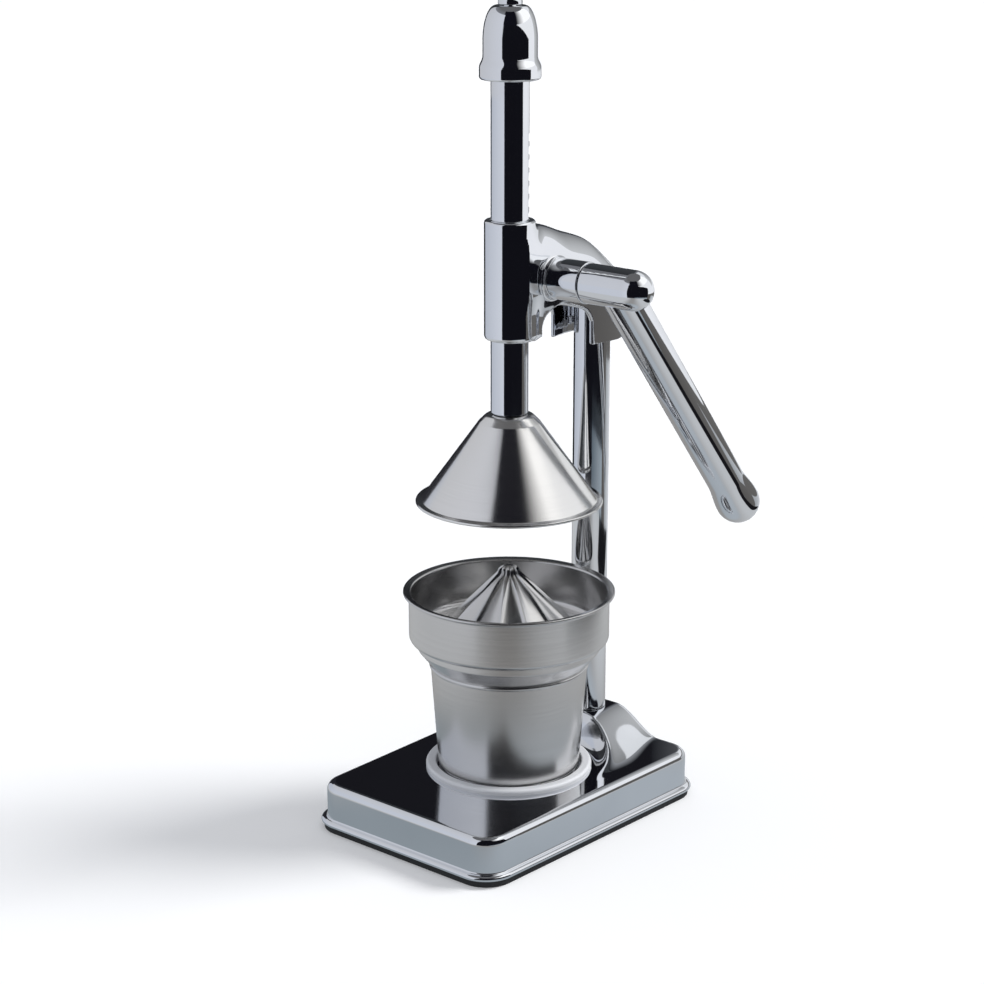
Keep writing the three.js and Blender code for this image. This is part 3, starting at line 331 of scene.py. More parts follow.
steelLook = {
    "tint": (0.6, 0.605, 0.61), "tintDull": (0.42, 0.425, 0.43), "roughness": 0.28, "grain": 0.16,
    "cloud": 0.08, "ringScale": 900, "cloudScale": 60, "strength": 0.2, "depth": 0.00008,
}
plainSteel = turnedMaterial("plainSteel", steelLook, {})

ringLook = {
    "tint": (0.9, 0.91, 0.93), "tintDull": (0.84, 0.85, 0.87), "roughness": 0.34, "grain": 0.08,
    "cloud": 0.06, "ringScale": 700, "cloudScale": 30, "strength": 0.08, "depth": 0.00006,
}
paleRing = turnedMaterial("paleRing", ringLook, {"Metallic": 0.12})

padLook = {
    "dark": (0.012, 0.012, 0.013), "worn": (0.035, 0.035, 0.037), "roughness": 0.55, "grain": 0.25,
    "grainScale": 900, "grainRoughness": 0.6, "wearScale": 35, "detail": 4, "strength": 0.3, "depth": 0.0002,
}


def padNodes(recipe, look=padLook):
    place = objectPlace(recipe)
    grain = noise(recipe, place, look["grainScale"], look["detail"], look["grainRoughness"])
    wear = noise(recipe, place, look["wearScale"], look["detail"])
    return {
        "Base Color": blendOf(recipe, wear * wear, look["dark"], look["worn"]),
        "Roughness": look["roughness"] + grain * look["grain"],
        "Normal": bumpOf(recipe, grain, look["strength"], look["depth"]),
    }


blackPad = materialFrom("blackPad", {"Metallic": 0.0}, padNodes)
print("materials made")

# stand
base = {
    "front": 81.3, "rear": 79.0, "frontHalf": 57.0, "rearHalf": 60.0, "corner": 13.0,
    "bottom": 2.7, "footInset": 5.0, "lipOut": 3.2, "lipHigh": 3.6, "lipHollow": 0.6,
    "deck": 24.2, "deckRound": 4.0, "deckRings": 150, "deckSpread": 1.15, "columnY": 64.0, "hole": 7.0,
    "hill": 13.1, "hillFlat": 9.0, "hillRear": 37.0, "hillFront": 49.0, "hillLong": 44.0, "hillReach": 36.0,
    "ringFoot": 42.6, "ringRise": 12.4,
}


def baseOutline(inset, cornerSteps=20, sideSteps=90, frontSteps=24, rearSteps=72):
    length = base["front"] + base["rear"]
    widening = base["rearHalf"] - base["frontHalf"]
    slant = math.atan2(widening, length)
    sideAt = lambda y: base["frontHalf"] + widening * (y + base["front"]) / length
    frontY, rearY = base["corner"] - base["front"], base["rear"] - base["corner"]
    inward = base["corner"] / math.cos(slant)
    frontX, rearX = sideAt(frontY) - inward, sideAt(rearY) - inward
    radius, tilt = base["corner"] - inset, math.degrees(slant)
    corners = [arcPoints(x, y, radius, radius, first, last, cornerSteps) for x, y, first, last in (
        (frontX, frontY, -90, -tilt), (rearX, rearY, -tilt, 90),
        (-rearX, rearY, 90, 180 + tilt), (-frontX, frontY, 180 + tilt, 270))]
    points = []
    for i, steps in enumerate((sideSteps, rearSteps, sideSteps, frontSteps)):
        points.extend(corners[i])
        start, end = np.array(corners[i][-1]), np.array(corners[(i + 1) % 4][0])
        points.extend(tuple(start + (end - start) * k / steps) for k in range(1, steps))
    return np.array(points)


def hillAt(x, y):
    # falls to both sides, and round the cup's ring to the deck
    forward = smooth((base["rear"] - y) / base["hillLong"])
    foot = base["hillRear"] + (base["hillFront"] - base["hillRear"]) * forward
    across = 1 - smooth((np.abs(x) - base["hillFlat"]) / (foot - base["hillFlat"]))
    aroundRing = smooth((np.hypot(x, y) - base["ringFoot"]) / base["ringRise"])
    return base["hill"] * across * aroundRing * smooth(y / base["hillReach"])


def makeBase():
    rings = []

    def ring(points, heights):
        rings.append(np.column_stack([points, np.broadcast_to(heights, len(points))]))

    bottom, middle = base["bottom"], base["bottom"] + base["lipHigh"] / 2
    ring(baseOutline(base["footInset"]), bottom)
    for out, z in arcPoints(0, middle, base["lipOut"], base["lipHigh"] / 2, -90, 80, 18):
        ring(baseOutline(-out), z)
    # small hollow where the lip meets the wall
    ring(baseOutline(0), bottom + base["lipHigh"] + base["lipHollow"])
    edge = baseOutline(base["deckRound"])
    top = base["deck"] + hillAt(edge[:, 0], edge[:, 1])
    for angle in np.radians(np.linspace(0, 90, 13)):
        inset = base["deckRound"] * (1 - math.cos(angle))
        ring(baseOutline(inset), top - base["deckRound"] * (1 - math.sin(angle)))
    far = np.hypot(edge[:, 0], edge[:, 1] - base["columnY"])
    away = (edge - [0, base["columnY"]]) / far[:, None]
    for share in 1 - np.linspace(0, 1, base["deckRings"])[1:] ** base["deckSpread"]:
        radius = base["hole"] + (far - base["hole"]) * share
        points = np.column_stack([away[:, 0] * radius, base["columnY"] + away[:, 1] * radius])
        ring(points, base["deck"] + hillAt(points[:, 0], points[:, 1]))
    return evenNormals(skinnedPiece("baseShell", rings, creaseAngle=50))


finished(makeBase(), "stand", ["base_shell"], chrome)

pad = {"inset": 1.5, "thick": 3.0, "edge": 0.5, "edgeTurn": 0.3, "steps": (10, 6, 4, 6)}


def makePad():
    grow, edge = pad["inset"] - base["lipOut"], pad["edge"]
    turn = edge * pad["edgeTurn"]
    rings = []
    for inset, z in ((grow + edge, 0), (grow + turn, turn), (grow, edge), (grow, pad["thick"])):
        outline = baseOutline(inset, *pad["steps"])
        rings.append(np.column_stack([outline, np.full(len(outline), z)]))
    return skinnedPiece("basePad", rings, closeEnds=True)


finished(makePad(), "stand", ["base_pad"], blackPad)

cupRing = {"inner": 36.9, "outer": 42.1, "top": 27.0, "bottom": 23.5, "innerRound": 1.0, "outerRound": 1.7}


def makeCupRing():
    size = cupRing
    profile = [(size["inner"], size["bottom"]), (size["outer"], size["bottom"]),
               (size["outer"], size["top"], size["outerRound"]),
               (size["inner"], size["top"], size["innerRound"])]
    return turnedPiece("cupRing", profile, sides=drawing["wideSides"], closed=True)


finished(makeCupRing(), "stand", ["cup_ring"], paleRing)

column = {"radius": 9.2, "inner": 7.6, "bottom": 37.6, "top": 260.0, "edge": 0.4}


def makeColumn():
    size = column
    profile = [(size["inner"], size["bottom"]), (size["radius"], size["bottom"], size["edge"]),
               (size["radius"], size["top"], size["edge"]), (size["inner"], size["top"])]
    return turnedPiece("columnTube", profile, Matrix.Translation((0, base["columnY"], 0)), closed=True)


finished(makeColumn(), "stand", ["column_tube"], drawnChrome)
print("stand made")

# head casting, as one rounded body
head = {
    "pinionY": 20.0, "pinionZ": 274.3, "sleeve": 12.4, "sleeveBore": 9.5, "sleeveBottom": 245.5,
    "sleeveTop": 304.0, "edge": 1.4, "lowerEdge": 2.4, "boss": 10.3, "bossReach": 14.3, "bossEdge": 0.5,
    "waist": 12.2, "undercut": 2.8, "undercutFoot": 255.0, "undercutHigh": 15.0,
    "shellOuter": 15.3, "shellWall": 2.0, "shellBottom": 236.4, "domeFoot": 261.0, "crestStart": 301.0,
    "roofRound": 12.2, "leastRound": 4.0, "hoodFall": 21.0, "rearFall": 6.6,
    "crest": [(0, 0), (0.29, 0.06), (0.55, 0.32), (0.8, 0.57), (0.92, 0.79), (1, 1)],
    "arch": [(0, 0.333), (0.039, 0.543), (0.096, 0.703), (0.198, 0.87), (0.266, 0.957), (0.392, 1),
             (0.632, 0.855), (0.841, 0.688), (0.943, 0.457), (0.994, 0.196)],
    "archRise": 13.8, "webLength": 1.5, "doorRise": 19.6, "doorRound": 6.5, "hollowFront": 32.0,
    "chamberHalf": 6.5, "chamberRadius": 16.4, "mouthY": 29.3, "mouthHalf": 16.6,
    "shaftBore": 7.3, "columnTop": 260.3, "columnBore": 9.5,
    "fillet": 5.0, "bossFillet": 1.8, "softEdge": 1.2, "softHollow": 0.8, "softBore": 0.6,
    "cutterLow": 2.0, "cutterFront": 4.0,
}
# the box and the grid in which its surface is sought
search = {
    "low": (-17.0, -14.5), "high": (17.0, 82.0), "margin": 1.5, "step": 0.5, "limit": 4,
    "pulls": 3, "probe": 0.02, "leastSlope": 0.05, "longestPull": 0.3,
}


def polygonDistance(outline, a, b):
    points = np.array(outline, float)
    nearest = np.full(np.broadcast(a, b).shape, np.inf)
    inside = np.zeros(nearest.shape, bool)
    for p, q in zip(points, np.roll(points, -1, 0)):
        edge = q - p
        along = np.clip(((a - p[0]) * edge[0] + (b - p[1]) * edge[1]) / (edge @ edge + 1e-12), 0, 1)
        nearest = np.minimum(nearest, np.hypot(a - p[0] - along * edge[0], b - p[1] - along * edge[1]))
        crosses = (p[1] > b) != (q[1] > b)
        if abs(edge[1]) > 1e-9:
            inside ^= crosses & (a < p[0] + edge[0] * (b - p[1]) / edge[1])
    return np.where(inside, -nearest, nearest)


def joinedSoft(first, second, soft):
    blend = np.maximum(soft - np.abs(first - second), 0) / soft
    return np.minimum(first, second) - blend * blend * soft / 4


def cutSoft(body, cutter, soft):
    return -joinedSoft(-body, cutter, soft)


def rodDistance(radial, along, radius, half, edge):
    across, over = radial - radius + edge, np.abs(along) - half + edge
    return np.minimum(np.maximum(across, over), 0) + np.hypot(np.maximum(across, 0), np.maximum(over, 0)) - edge


def smoothLine(points, steps):
    points = [np.array(p, float) for p in points]
    samples = []
    for i in range(len(points) - 1):
        p0, p1, p2 = points[max(i - 1, 0)], points[i], points[i + 1]
        p3 = points[min(i + 2, len(points) - 1)]
        v0, v1 = (p2 - p0) / 2, (p3 - p1) / 2
        cubic, square = 2 * p1 - 2 * p2 + v0 + v1, -3 * p1 + 3 * p2 - 2 * v0 - v1
        for t in np.linspace(0, 1, steps, endpoint=False):
            samples.append(cubic * t**3 + square * t**2 + v0 * t + p1)
    return np.array([*samples, points[-1]])


crestLine = smoothLine([(along * base["columnY"], head["crestStart"] - fall * head["hoodFall"])
                        for along, fall in head["crest"]], 30)


def hoodWidening(y):
    return smooth((y - head["pinionY"]) / (base["columnY"] - head["pinionY"]))


def hoodHalf(y, z):
    # the web under the shaft stands back a little
    widening = hoodWidening(y)
    back = head["undercut"] * (1 - widening) * (1 - smooth((z - head["undercutFoot"]) / head["undercutHigh"]))
    return head["waist"] + (head["shellOuter"] - head["waist"]) * widening - back


def underOutline():
    low, sleeve = head["shellBottom"] - head["cutterLow"], head["sleeve"]
    bottom, under = head["sleeveBottom"], head["sleeveBottom"] + head["lowerEdge"]
    webRear = sleeve + head["webLength"]
    webFront = math.sqrt(sleeve**2 - (head["waist"] - head["undercut"]) ** 2)
    shellFront = base["columnY"] - head["shellOuter"] - head["edge"]
    arch = smoothLine([(webRear + along * (shellFront - webRear), bottom + rise * head["archRise"])
                       for along, rise in head["arch"]], 3)
    front = -sleeve - head["cutterFront"]
    return [(front, low), (shellFront, low), *arch[::-1], (webRear, bottom), (webFront, bottom),
            (webFront, under), (front, under)]


def hollowPlan():
    columnY, inner = base["columnY"], head["shellOuter"] - head["shellWall"]
    side = [(float(hoodHalf(y, head["shellBottom"])) - head["shellWall"], y)
            for y in np.linspace(head["hollowFront"], columnY, 7)[:-1]]
    return [*side, *arcPoints(0, columnY, inner, inner, 0, 180, 24), *[(-x, y) for x, y in side[::-1]]]


def headField(x, y, z):
    columnY, outer = base["columnY"], head["shellOuter"]
    fromRam = np.hypot(x, y)
    middle = (head["sleeveTop"] + head["sleeveBottom"]) / 2
    sleeve = rodDistance(fromRam, z - middle, head["sleeve"], head["sleeveTop"] - middle,
                         np.where(z < middle, head["lowerEdge"], head["edge"]))
    fromShaft = np.hypot(y - head["pinionY"], z - head["pinionZ"])
    boss = rodDistance(fromShaft, x, head["boss"], head["bossReach"], head["bossEdge"])
    # hood: a roof over the ram and the pinion that grows into a dome over the column
    beyond = np.clip(y - columnY, 0, outer) / outer
    top = np.interp(y, crestLine[:, 0], crestLine[:, 1]) - head["rearFall"] * beyond * (2 - beyond)
    growth = (top - head["domeFoot"] - head["roofRound"]) * hoodWidening(y)
    shoulder = np.maximum(head["roofRound"] + growth, head["leastRound"])
    half = hoodHalf(y, z)
    reach = np.hypot(x, np.maximum(y - columnY, 0))
    above = np.maximum(z - (top - shoulder), 0)
    roof = (np.hypot(reach / half, above / shoulder) - 1) * np.minimum(half, shoulder)
    hood = np.maximum(roof, np.maximum(-y, head["shellBottom"] - z))
    hood = cutSoft(hood, polygonDistance(underOutline(), y, z), head["softEdge"])
    body = joinedSoft(hood, sleeve, head["fillet"])
    body = joinedSoft(body, boss, head["bossFillet"])
    # hollow of the shell round the column, with the door in its front
    low, inner = head["shellBottom"] - head["cutterLow"], outer - head["shellWall"]
    doorTop, turn = head["shellBottom"] + head["doorRise"], head["doorRound"]
    plan = polygonDistance(hollowPlan(), x, y)
    front = polygonDistance([(-inner, low), (inner, low),
                             *arcPoints(inner - turn, doorTop - turn, turn, turn, 0, 90, 8),
                             *arcPoints(turn - inner, doorTop - turn, turn, turn, 90, 180, 8)], x, z)
    body = cutSoft(body, np.maximum(plan, front), head["softHollow"])
    fromColumn = np.hypot(x, y - columnY)
    columnBore = np.maximum(fromColumn - head["columnBore"], z - head["columnTop"])
    ramBore = fromRam - head["sleeveBore"]
    chamber = np.maximum(fromShaft - head["chamberRadius"], np.abs(x) - head["chamberHalf"])
    mouth = np.maximum(np.maximum(np.abs(x) - head["chamberHalf"], z - head["pinionZ"]),
                       np.abs(y - head["mouthY"]) - head["mouthHalf"])
    shaftBore = fromShaft - head["shaftBore"]
    for cutter in (columnBore, ramBore, np.minimum(chamber, mouth), shaftBore):
        body = cutSoft(body, cutter, head["softBore"])
    return body


def makeHead():
    low = np.array([*search["low"], head["shellBottom"] - search["margin"]])
    high = np.array([*search["high"], head["sleeveTop"] + search["margin"]])
    step, limit, probe = search["step"], search["limit"], search["probe"]
    axes = [np.arange(a, b, step) for a, b in zip(low, high)]
    values = headField(axes[0][:, None, None], axes[1][None, :, None], axes[2][None, None, :])
    grid = openvdb.FloatGrid()
    grid.copyFromArray(np.clip(values, -limit, limit).astype(np.float32))
    points, quads = grid.convertToQuads(isovalue=0)
    points = np.array(points, float) * step + low

    def slope(p):
        parts = []
        for k in range(3):
            shift = np.zeros(3)
            shift[k] = probe
            parts.append((headField(*(p + shift).T) - headField(*(p - shift).T)) / (2 * probe))
        return np.column_stack(parts)

    for _ in range(search["pulls"]):  # pull every vertex onto the exact surface
        gradient = slope(points)
        size = np.maximum((gradient**2).sum(1), search["leastSlope"])
        move = gradient * (headField(*points.T) / size)[:, None]
        points -= np.clip(move, -search["longestPull"], search["longestPull"])
    piece = linkedPiece("headCasting", points, [list(map(int, q)) for q in quads], creaseAngle=None)
    normals = slope(points)
    normals /= np.maximum(np.linalg.norm(normals, axis=1), 1e-6)[:, None]
    piece.data.normals_split_custom_set_from_vertices([tuple(n) for n in normals])
    return piece


finished(makeHead(), "stand", ["head_casting"], chrome)
print("head made")

# ram, bell and press cone
ram = {"radius": 9.2, "bottom": 208.7, "top": 392.3, "edge": 0.8, "stud": 3.0, "studTop": 407.7,
       "rackTip": 7.6, "pitchLine": 6.0, "tipHigh": 1.6, "rootDeep": 2.1, "pitch": 2 * math.pi, "gaps": 13,
       "lowGap": -1, "pressure": 20, "backlash": 0.3}


def makeRam():
    size = ram
    slope = math.tan(math.radians(size["pressure"]))
    gapHalf = lambda height: size["pitch"] / 4 + size["backlash"] / 4 + height * slope
    start = head["pinionZ"] + (size["lowGap"] - 0.5) * size["pitch"]
    end = head["pinionZ"] + (size["lowGap"] + size["gaps"] - 0.5) * size["pitch"]
    full, tip, root = size["radius"], size["rackTip"], size["pitchLine"] - size["rootDeep"]
    narrow, uncut = full - size["edge"], full + 1
    # height, radius and where the flat of the teeth cuts it off
    levels = [(size["bottom"], narrow, uncut), (size["bottom"] + size["edge"], full, uncut),
              (start, full, uncut), (start, full, tip)]
    mouth, floor = gapHalf(size["tipHigh"]), gapHalf(-size["rootDeep"])
    for i in range(size["gaps"]):
        z = head["pinionZ"] + (i + size["lowGap"]) * size["pitch"]
        levels += [(z - mouth, full, tip), (z - floor, full, root), (z + floor, full, root), (z + mouth, full, tip)]
    levels += [(end, full, tip), (end, full, uncut), (size["top"] - size["edge"], full, uncut),
               (size["top"], narrow, uncut), (size["top"], size["stud"], uncut),
               (size["studTop"], size["stud"], uncut)]
    angles = np.linspace(0, 2 * math.pi, drawing["sides"], endpoint=False)
    rings = [np.column_stack([radius * np.cos(angles), np.minimum(radius * np.sin(angles), depth),
                              np.full(len(angles), z)]) for z, radius, depth in levels]
    return evenNormals(skinnedPiece("ramRack", rings, closeEnds=True, creaseAngle=25))


finished(makeRam(), "ram", ["ram_rack"], drawnChrome)

bell = {"bottom": 370.6, "top": 404.9, "skirt": 14.7, "skirtHigh": 5.4, "blend": 5.4, "body": 13.0,
        "shoulder": 16.2, "topRadius": 6.9, "inner": 11.0, "bore": 9.5, "dish": 0.7, "hole": 3.3,
        "innerRound": 0.6, "skirtRound": 1.4, "ramGap": 0.3}


def makeBell():
    size = bell
    bodyTop = size["top"] - size["shoulder"]
    skirtTop, seat = size["bottom"] + size["skirtHigh"], ram["top"] + size["ramGap"]
    flare = [(size["skirt"] + (size["body"] - size["skirt"]) * float(smooth(t)), skirtTop + size["blend"] * t)
             for t in np.linspace(0.08, 1, 14)]
    crown = arcPoints(size["topRadius"], bodyTop, size["body"] - size["topRadius"], size["shoulder"], 3, 90, 26)
    profile = [(size["inner"], size["bottom"], size["innerRound"]),
               (size["skirt"], size["bottom"], size["skirtRound"]), (size["skirt"], skirtTop), *flare, *crown,
               (size["hole"], size["top"] - size["dish"]), (size["hole"], seat), (size["bore"], seat),
               (size["bore"], skirtTop + size["blend"]), (size["inner"], skirtTop)]
    return turnedPiece("bellCap", profile, closed=True)


finished(makeBell(), "ram", ["bell_cap"], chrome)

capNut = {"bottom": 405.2, "radius": 5.8, "foot": 1.6, "high": 6.8, "hole": 3.3, "edge": 0.5}


def makeCapNut():
    size = capNut
    dome = arcPoints(0, size["bottom"] + size["foot"], size["radius"], size["high"] - size["foot"], 0, 90, 16)
    return turnedPiece("capNut", [(size["hole"], size["bottom"]), (size["radius"], size["bottom"], size["edge"]),
                                  *dome[:-1], (0, size["bottom"] + size["high"])])


finished(makeCapNut(), "ram", ["cap_nut"], chrome)

# the roundings go from the top to the brim, outside and inside
cone = {"top": 208.4, "bottom": 163.5, "radius": 44.0, "brim": 46.3, "brimThick": 1.5, "brimRound": 0.7,
        "shoulder": 14.2, "shoulderOut": 1.0, "shoulderIn": 0.2, "shoulderDrop": 0.4, "flat": 10.0, "crown": 4.0,
        "wall": 1.2, "hole": 3.3, "footIn": 0.6, "footLift": 0.2, "outer": (4.2, 3.0, 1.2),
        "inner": (3.0, 2.5, 0.8, 0.5)}


def makeCone():
    size = cone
    top, bottom, wall, outer, inner = (size[key] for key in ("top", "bottom", "wall", "outer", "inner"))
    brimTop, crownLow = bottom + size["brimThick"], top - size["crown"]
    profile = [(size["hole"], top - wall), (size["hole"], top), (size["flat"] + wall, top, outer[0]),
               (size["shoulder"] + size["shoulderOut"], crownLow, outer[1]),
               (size["radius"] - size["footIn"], brimTop + size["footLift"], outer[2]),
               (size["brim"], brimTop, size["brimRound"]), (size["brim"], bottom, size["brimRound"]),
               (size["radius"] - wall, bottom, inner[3]), (size["radius"] - wall, brimTop, inner[2]),
               (size["shoulder"] - size["shoulderIn"], crownLow - size["shoulderDrop"], inner[1]),
               (size["flat"], top - wall, inner[0])]
    return turnedPiece("pressCone", profile, sides=drawing["wideSides"], closed=True, creaseAngle=40)


finished(makeCone(), "ram", ["press_cone"], coneSteel)
print("ram made")

# cross shaft pieces and lever
onShaft = Matrix(((0, 0, 1, 0), (1, 0, 0, head["pinionY"]), (0, 1, 0, head["pinionZ"]), (0, 0, 0, 1)))
cross = {"collarStart": 14.6, "collarEnd": 32.7, "collar": 10.2, "collarRound": 0.5, "bore": 5.3,
         "flangeEnd": 17.0, "washer": 7.6, "washerHole": 2.8, "washerStart": 17.3, "washerThick": 1.4,
         "washerRound": 0.4, "screwHead": 5.2, "screwStart": 19.0, "screwHigh": 3.4, "shank": 2.5, "shankEnd": 10.0,
         "socket": 2.0, "socketDeep": 1.6, "socketRound": 0.2}


def makeBearing(name, end, side):
    size = cross
    points = [(size["bore"], size["collarStart"]), (size["collar"], size["collarStart"], size["collarRound"]),
              (size["collar"], end, size["collarRound"]), (size["bore"], end)]
    if side < 0:
        points = [(p[0], -p[1], *p[2:]) for p in points][::-1]
    return turnedPiece(name, points, onShaft, closed=True)


finished(makeBearing("bearingCollar", cross["collarEnd"], 1), "stand", ["bearing_collar"], chrome)
finished(makeBearing("leftBush", cross["flangeEnd"], -1), "stand", ["left_bush"], chrome)


def makeEndWasher():
    size = cross
    near, hole, edge = -size["washerStart"], size["washerHole"], size["washerRound"]
    far = near - size["washerThick"]
    profile = [(hole, far), (size["washer"], far, edge), (size["washer"], near, edge), (hole, near)]
    return turnedPiece("endWasher", profile, onShaft, closed=True)


finished(makeEndWasher(), "lever", ["end_washer"], chrome)


def makeEndScrew():
    # the head's six-sided socket is drawn as a round recess
    size = cross
    start, shankEnd, socket, edge = -size["screwStart"], -size["shankEnd"], size["socket"], size["socketRound"]
    dome = arcPoints(0, start, size["screwHead"], size["screwHigh"], -90, 0, 14)
    tip = start - size["screwHigh"]
    outer = [p for p in dome if p[0] > socket + edge]
    profile = [(0, tip + size["socketDeep"]), (socket, tip + size["socketDeep"], edge), (socket, tip + edge, edge),
               *outer, (size["shank"], start), (size["shank"], shankEnd), (0, shankEnd)]
    return turnedPiece("endScrew", profile, onShaft)


finished(makeEndScrew(), "lever", ["end_screw"], chrome)

lever = {"hubStart": 33.0, "hubLength": 36.6, "hub": 9.8, "hubEdge": 0.8, "bore": 5.3, "boreDeep": 25.5,
         "angle": 51.0, "armX": 50.0, "arm": 9.7, "armStart": 3.0, "armLength": 165.6, "bulb": 11.5,
         "blend": 19.0, "blendEnd": 0.96}


def makeHub():
    size = lever
    start = size["hubStart"]
    end, deep = start + size["hubLength"], start + size["boreDeep"]
    dome = arcPoints(0, end - size["hub"], size["hub"], size["hub"], 0, 90, 26)
    profile = [(0, deep), (size["bore"], deep), (size["bore"], start), (size["hub"], start, size["hubEdge"]),
               *dome[:-1], (0, end)]
    return turnedPiece("leverHub", profile, onShaft)


finished(makeHub(), "lever", ["lever_hub"], chrome)


def makeArm():
    size = lever
    neck = size["armLength"] - size["blend"]
    blend = [(size["arm"] + (size["bulb"] - size["arm"]) * float(smooth(t)), neck + size["blend"] * t)
             for t in np.linspace(0, size["blendEnd"], 24)]
    ball = arcPoints(0, size["armLength"], size["bulb"], size["bulb"], 0, 90, 24)
    place = (Matrix.Translation((size["armX"], head["pinionY"], head["pinionZ"]))
             @ Matrix.Rotation(math.radians(-90 - size["angle"]), 4, "X"))
    return turnedPiece("leverArm", [(0, size["armStart"]), (size["arm"], size["armStart"]), *blend, *ball[:-1],
                                    (0, size["armLength"] + size["bulb"])], place)


finished(makeArm(), "lever", ["lever_arm"], chrome)
print("lever made")

# cup, strainer and reamer
tumbler = {"bottom": 24.5, "top": 91.9, "foot": 35.6, "footRound": 3.2, "neck": 39.4, "neckZ": 78.1,
           "neckRound": 1.5, "bead": 40.2, "beadHigh": 2.2, "beadFoot": 0.15, "beadRound": 0.3, "mouth": 46.0,
           "mouthRound": 1.3, "innerRound": 0.4, "collar": 3.6, "collarRound": 1.2, "wall": 1.0}


def makeTumbler():
    size = tumbler
    bottom, foot, neck, mouth, wall = (size[key] for key in ("bottom", "foot", "neck", "mouth", "wall"))
    neckZ, turn, collarTurn = size["neckZ"], size["neckRound"], size["collarRound"]
    beadTop, collarZ = neckZ + size["beadHigh"], size["top"] - size["collar"]
    bead = arcPoints(neck, neckZ + size["beadHigh"] / 2, size["bead"] - neck, size["beadHigh"] / 2, -80, 80, 12)
    profile = [(0, bottom), (foot, bottom, size["footRound"]), (neck, neckZ), *bead,
               (neck + size["beadFoot"], beadTop, size["beadRound"]), (mouth, collarZ, collarTurn),
               (mouth, size["top"], size["mouthRound"]), (mouth - wall, size["top"], size["innerRound"]),
               (mouth - wall, collarZ, collarTurn), (neck - wall, beadTop, turn), (neck - wall, neckZ, turn),
               (foot - wall, bottom + wall, size["footRound"] - wall), (0, bottom + wall)]
    return turnedPiece("steelTumbler", profile, sides=drawing["wideSides"])


finished(makeTumbler(), "cup", ["tumbler"], cupSteel)

strainer = {"seat": 92.2, "floor": 94.2, "under": 93.0, "outer": 50.2, "rim": 53.0, "rimTop": 117.9,
            "rimHigh": 1.5, "rimFoot": 1.5, "rimDip": 0.6, "rimRound": 1.0, "innerRound": 1.2, "round": 5.2,
            "wall": 1.2, "skirtBottom": 89.0, "skirt": 44.7, "skirtRound": 0.3, "hole": 2.5,
            "slots": 30, "slotWidth": 1.6, "slotLength": 7.6, "slotInset": 2.6, "slotPast": 2.0}


def makeStrainer():
    size = strainer
    wall, rimZ, rimHigh, outer = size["wall"], size["rimTop"], size["rimHigh"], size["outer"]
    skirt, skirtLow, edge = size["skirt"], size["skirtBottom"], size["skirtRound"]
    bead = arcPoints(size["rim"] - rimHigh / 2, rimZ - rimHigh / 2, rimHigh / 2, rimHigh / 2, -70, 110, 14)
    profile = [(size["hole"], size["under"]), (skirt - wall, size["under"], edge), (skirt - wall, skirtLow, edge),
               (skirt, skirtLow, edge), (skirt, size["seat"]), (outer, size["seat"], size["round"]),
               (outer, rimZ - rimHigh * size["rimFoot"], size["rimRound"]), *bead,
               (outer - wall, rimZ - size["rimDip"], size["innerRound"]),
               (outer - wall, size["floor"], size["round"] - wall), (size["hole"], size["floor"])]
    bowl = turnedPiece("strainerBowl", profile, sides=drawing["wideSides"], closed=True)
    # long slots round the floor, with round ends
    half = size["slotWidth"] / 2
    outerEnd = skirt - wall - size["slotInset"]
    loop = [*arcPoints(outerEnd - half, 0, half, half, -90, 90, 6),
            *arcPoints(outerEnd - size["slotLength"] + half, 0, half, half, 90, 270, 6)]
    count = len(loop)
    vertices, faces = [], []
    for i in range(size["slots"]):
        turn = 2 * math.pi * i / size["slots"]
        start = len(vertices)
        for z in (size["under"] - size["slotPast"], size["floor"] + size["slotPast"]):
            vertices += [(x * math.cos(turn) - y * math.sin(turn), x * math.sin(turn) + y * math.cos(turn), z)
                         for x, y in loop]
        low, high = list(range(start, start + count)), list(range(start + count, start + 2 * count))
        faces += [low[::-1], high]
        faces += [[low[k], low[(k + 1) % count], high[(k + 1) % count], high[k]] for k in range(count)]
    cutter = linkedPiece("slotCutter", vertices, faces)
    slots = bowl.modifiers.new("slots", "BOOLEAN")
    slots.operation, slots.solver, slots.object = "DIFFERENCE", "EXACT", cutter
    bpy.context.view_layer.update()
    cut = bpy.data.meshes.new_from_object(bowl.evaluated_get(bpy.context.evaluated_depsgraph_get()))
    bowl.modifiers.clear()
    bowl.data = cut
    bpy.data.objects.remove(cutter)
    cut.set_sharp_from_angle(angle=math.radians(drawing["crease"]))
    return evenNormals(bowl)


finished(makeStrainer(), "strainer", ["strainer_bowl"], cupSteel)

reamer = {"bottom": 94.5, "radius": 36.0, "high": 36.0, "tip": 6.0, "tipSquash": 0.6, "foot": 1.8,
          "footWall": 0.7, "footIn": 2.4, "edge": 0.6, "ribs": 12, "ribDeep": 2.6, "ribShare": 0.35,
          "ribStart": 0.15, "ribGrowth": 12, "sharpness": 0.004, "levels": 40, "perRib": 16}


